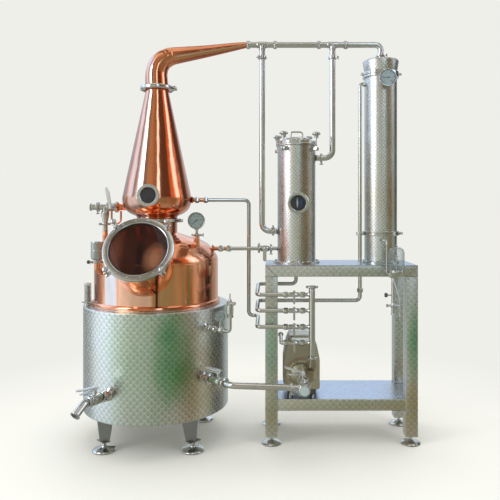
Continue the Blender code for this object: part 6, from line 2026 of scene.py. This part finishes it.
def floor_material():
    shader = Shader(bpy.data.materials.new("floor_paint"))
    distance = shader.node("ShaderNodeVectorMath", {0: shader.position}, "Value",
                           operation="LENGTH")
    far = clamp((distance - 1.35) / 1.5)
    shader.set("Base Color", shader.mix(shader.noise(scale=3.0), (0.760, 0.760, 0.726),
                                        (0.780, 0.780, 0.748)))
    shader.set("Roughness", 0.85)
    shader.set("Specular IOR Level", 0.1)
    paper = shader.node("ShaderNodeEmission", {"Color": PAPER})
    dim = shader.node("ShaderNodeEmission", {"Color": (0.40, 0.385, 0.34)})
    fade = shader.node("ShaderNodeMixShader", {
        0: shader.math("SMOOTH_MIN", far, 1.0, 0.1),
        1: Value(shader, shader.surface.outputs[0]), 2: paper})
    glossy = shader.node("ShaderNodeLightPath", {}, "Is Glossy Ray")
    surface = shader.node("ShaderNodeMixShader", {0: glossy, 1: fade, 2: dim})
    shader.feed(shader.nodes["Material Output"].inputs["Surface"], surface)
    return shader.block


mesh.materials.append(floor_material())
floor.visible_glossy = False

# ============================================================ world
# (degrees round the object, colour): 0 towards the camera, -90 its left, 90 its right
LOW_ROOM = [
    (-180, (.60, .66, .70)), (-150, (.42, .46, .49)), (-124, (.34, .37, .39)),
    (-108, (.42, .45, .47)), (-98, (1.12, 1.26, 1.42)), (-64, (1.12, 1.26, 1.42)),
    (-56, (.86, .88, .86)), (-42, (.78, .80, .75)), (-34, (.58, .60, .55)),
    (-5, (.55, .57, .51)), (6, (.33, .37, .27)), (38, (.28, .28, .19)), (46, (.36, .30, .21)),
    (74, (.29, .24, .17)), (83, (.72, .74, .68)), (98, (.66, .70, .68)), (105, (.08, .10, .13)),
    (126, (.06, .07, .09)), (138, (.36, .40, .40)), (160, (.62, .68, .70)),
    (180, (.60, .66, .70))]
HIGH_ROOM = [
    (-180, (1.0, 1.15, 1.35)), (-150, (.60, .66, .76)), (-140, (1.2, 1.55, 2.1)),
    (-105, (1.4, 1.85, 2.6)), (-84, (1.3, 1.75, 2.4)), (-80, (.55, .46, .42)),
    (-71, (.60, .52, .46)), (-66, (1.35, 1.7, 2.3)), (-52, (1.6, 2.0, 2.7)),
    (-46, (1.6, 2.0, 2.7)), (-41, (.17, .09, .055)), (-30, (.42, .34, .25)),
    (-12, (.54, .46, .34)), (-2, (.38, .30, .21)), (8, (.27, .20, .14)), (12, (2.2, 2.8, 3.6)),
    (17, (2.2, 2.8, 3.6)), (22, (.15, .10, .075)), (56, (.125, .085, .065)),
    (61, (.78, .30, .13)), (72, (.74, .28, .12)), (78, (2.0, 2.6, 3.4)), (94, (1.5, 1.95, 2.6)),
    (101, (.12, .08, .07)), (135, (.10, .07, .07)), (150, (.75, .86, 1.05)),
    (180, (1.0, 1.15, 1.35))]


def build_world():
    world = bpy.data.worlds.new("studio")
    bpy.context.scene.world = world
    shader = Shader(world, "Background", "Generated")
    x, y, z = shader.separate(shader.position)
    heading = shader.math("ARCTAN2", x, y * -1.0) / (2 * math.pi) + 0.5

    def panorama(stops):
        return shader.ramp(heading, [((deg + 180.0) / 360.0, rgb) for deg, rgb in stops])

    ground = clamp((z * -1.0 - 0.34) / 0.25)
    low = shader.mix(ground, panorama(LOW_ROOM), (0.42, 0.41, 0.37))
    high = panorama(HIGH_ROOM)
    uneven = z + shader.wander(0.34, scale=2.6, rough=0.6)
    rise = clamp((uneven - 0.10) / 0.20)
    # bright panels with dark gaps overhead
    stripes = shader.math("FRACT", (x + y * 0.35) * 2.1)
    roof = shader.mix(shader.math("GREATER_THAN", stripes, 0.34), (0.20, 0.16, 0.12),
                      (0.98, 0.99, 0.97))
    overhead = clamp((z - 0.62) / 0.16)
    room = shader.mix(overhead, shader.mix(rise, low, high), roof)
    blotches = shader.remap(shader.noise(scale=5.0, rough=0.6), low=0.62, high=1.30)
    room = shader.node("ShaderNodeVectorMath", {0: room, "Scale": blotches}, "Vector",
                       operation="SCALE")
    # reflections see the room, the camera sees paper, the rest is even light
    glossy = shader.node("ShaderNodeLightPath", {}, "Is Glossy Ray")
    camera = Value(shader, glossy.socket.node.outputs["Is Camera Ray"])
    even = shader.mix(camera, (1.10, 1.10, 1.06), PAPER)
    shader.set("Color", shader.mix(glossy, even, room))
    shader.set("Strength", 1.0)


build_world()


# ============================================================ lights and camera
def area(name, location, target, size, power, colour=(1, 1, 1), size_y=None):
    light = bpy.data.lights.new(name, "AREA")
    light.energy, light.size, light.color = power, size, colour
    if size_y:
        light.shape, light.size_y = "RECTANGLE", size_y
    item = add_object(name, light)
    item.location = location
    aim = Vector(target) - Vector(location)
    item.rotation_euler = aim.to_track_quat("-Z", "Y").to_euler()
    return item


area("key_left", (-3.6, -2.4, 3.0), target=(-0.3, 0, 1.1), size=1.1, power=46,
     colour=(1.0, 0.985, 0.96), size_y=2.6)
fill = area("fill_right", (3.3, -2.3, 2.6), target=(0.3, 0, 1.2), size=1.0, power=20,
            colour=(0.96, 0.985, 1.0), size_y=2.6)
top = area("top_soft", (0.0, 0.2, 4.6), target=(0, 0, 0.8), size=3.4, power=45)
fill.visible_glossy = False
top.visible_glossy = False

lens = bpy.data.cameras.new("view")
lens.sensor_width = 36.0
lens.lens = 41.6
lens.shift_x, lens.shift_y = -0.044, -0.072
camera = add_object("view", lens)
camera.location = (0.140, -3.655, 1.43)
camera.rotation_euler = (math.pi / 2, 0, 0)
bpy.context.scene.camera = camera
bpy.context.scene.view_settings.view_transform = "Standard"
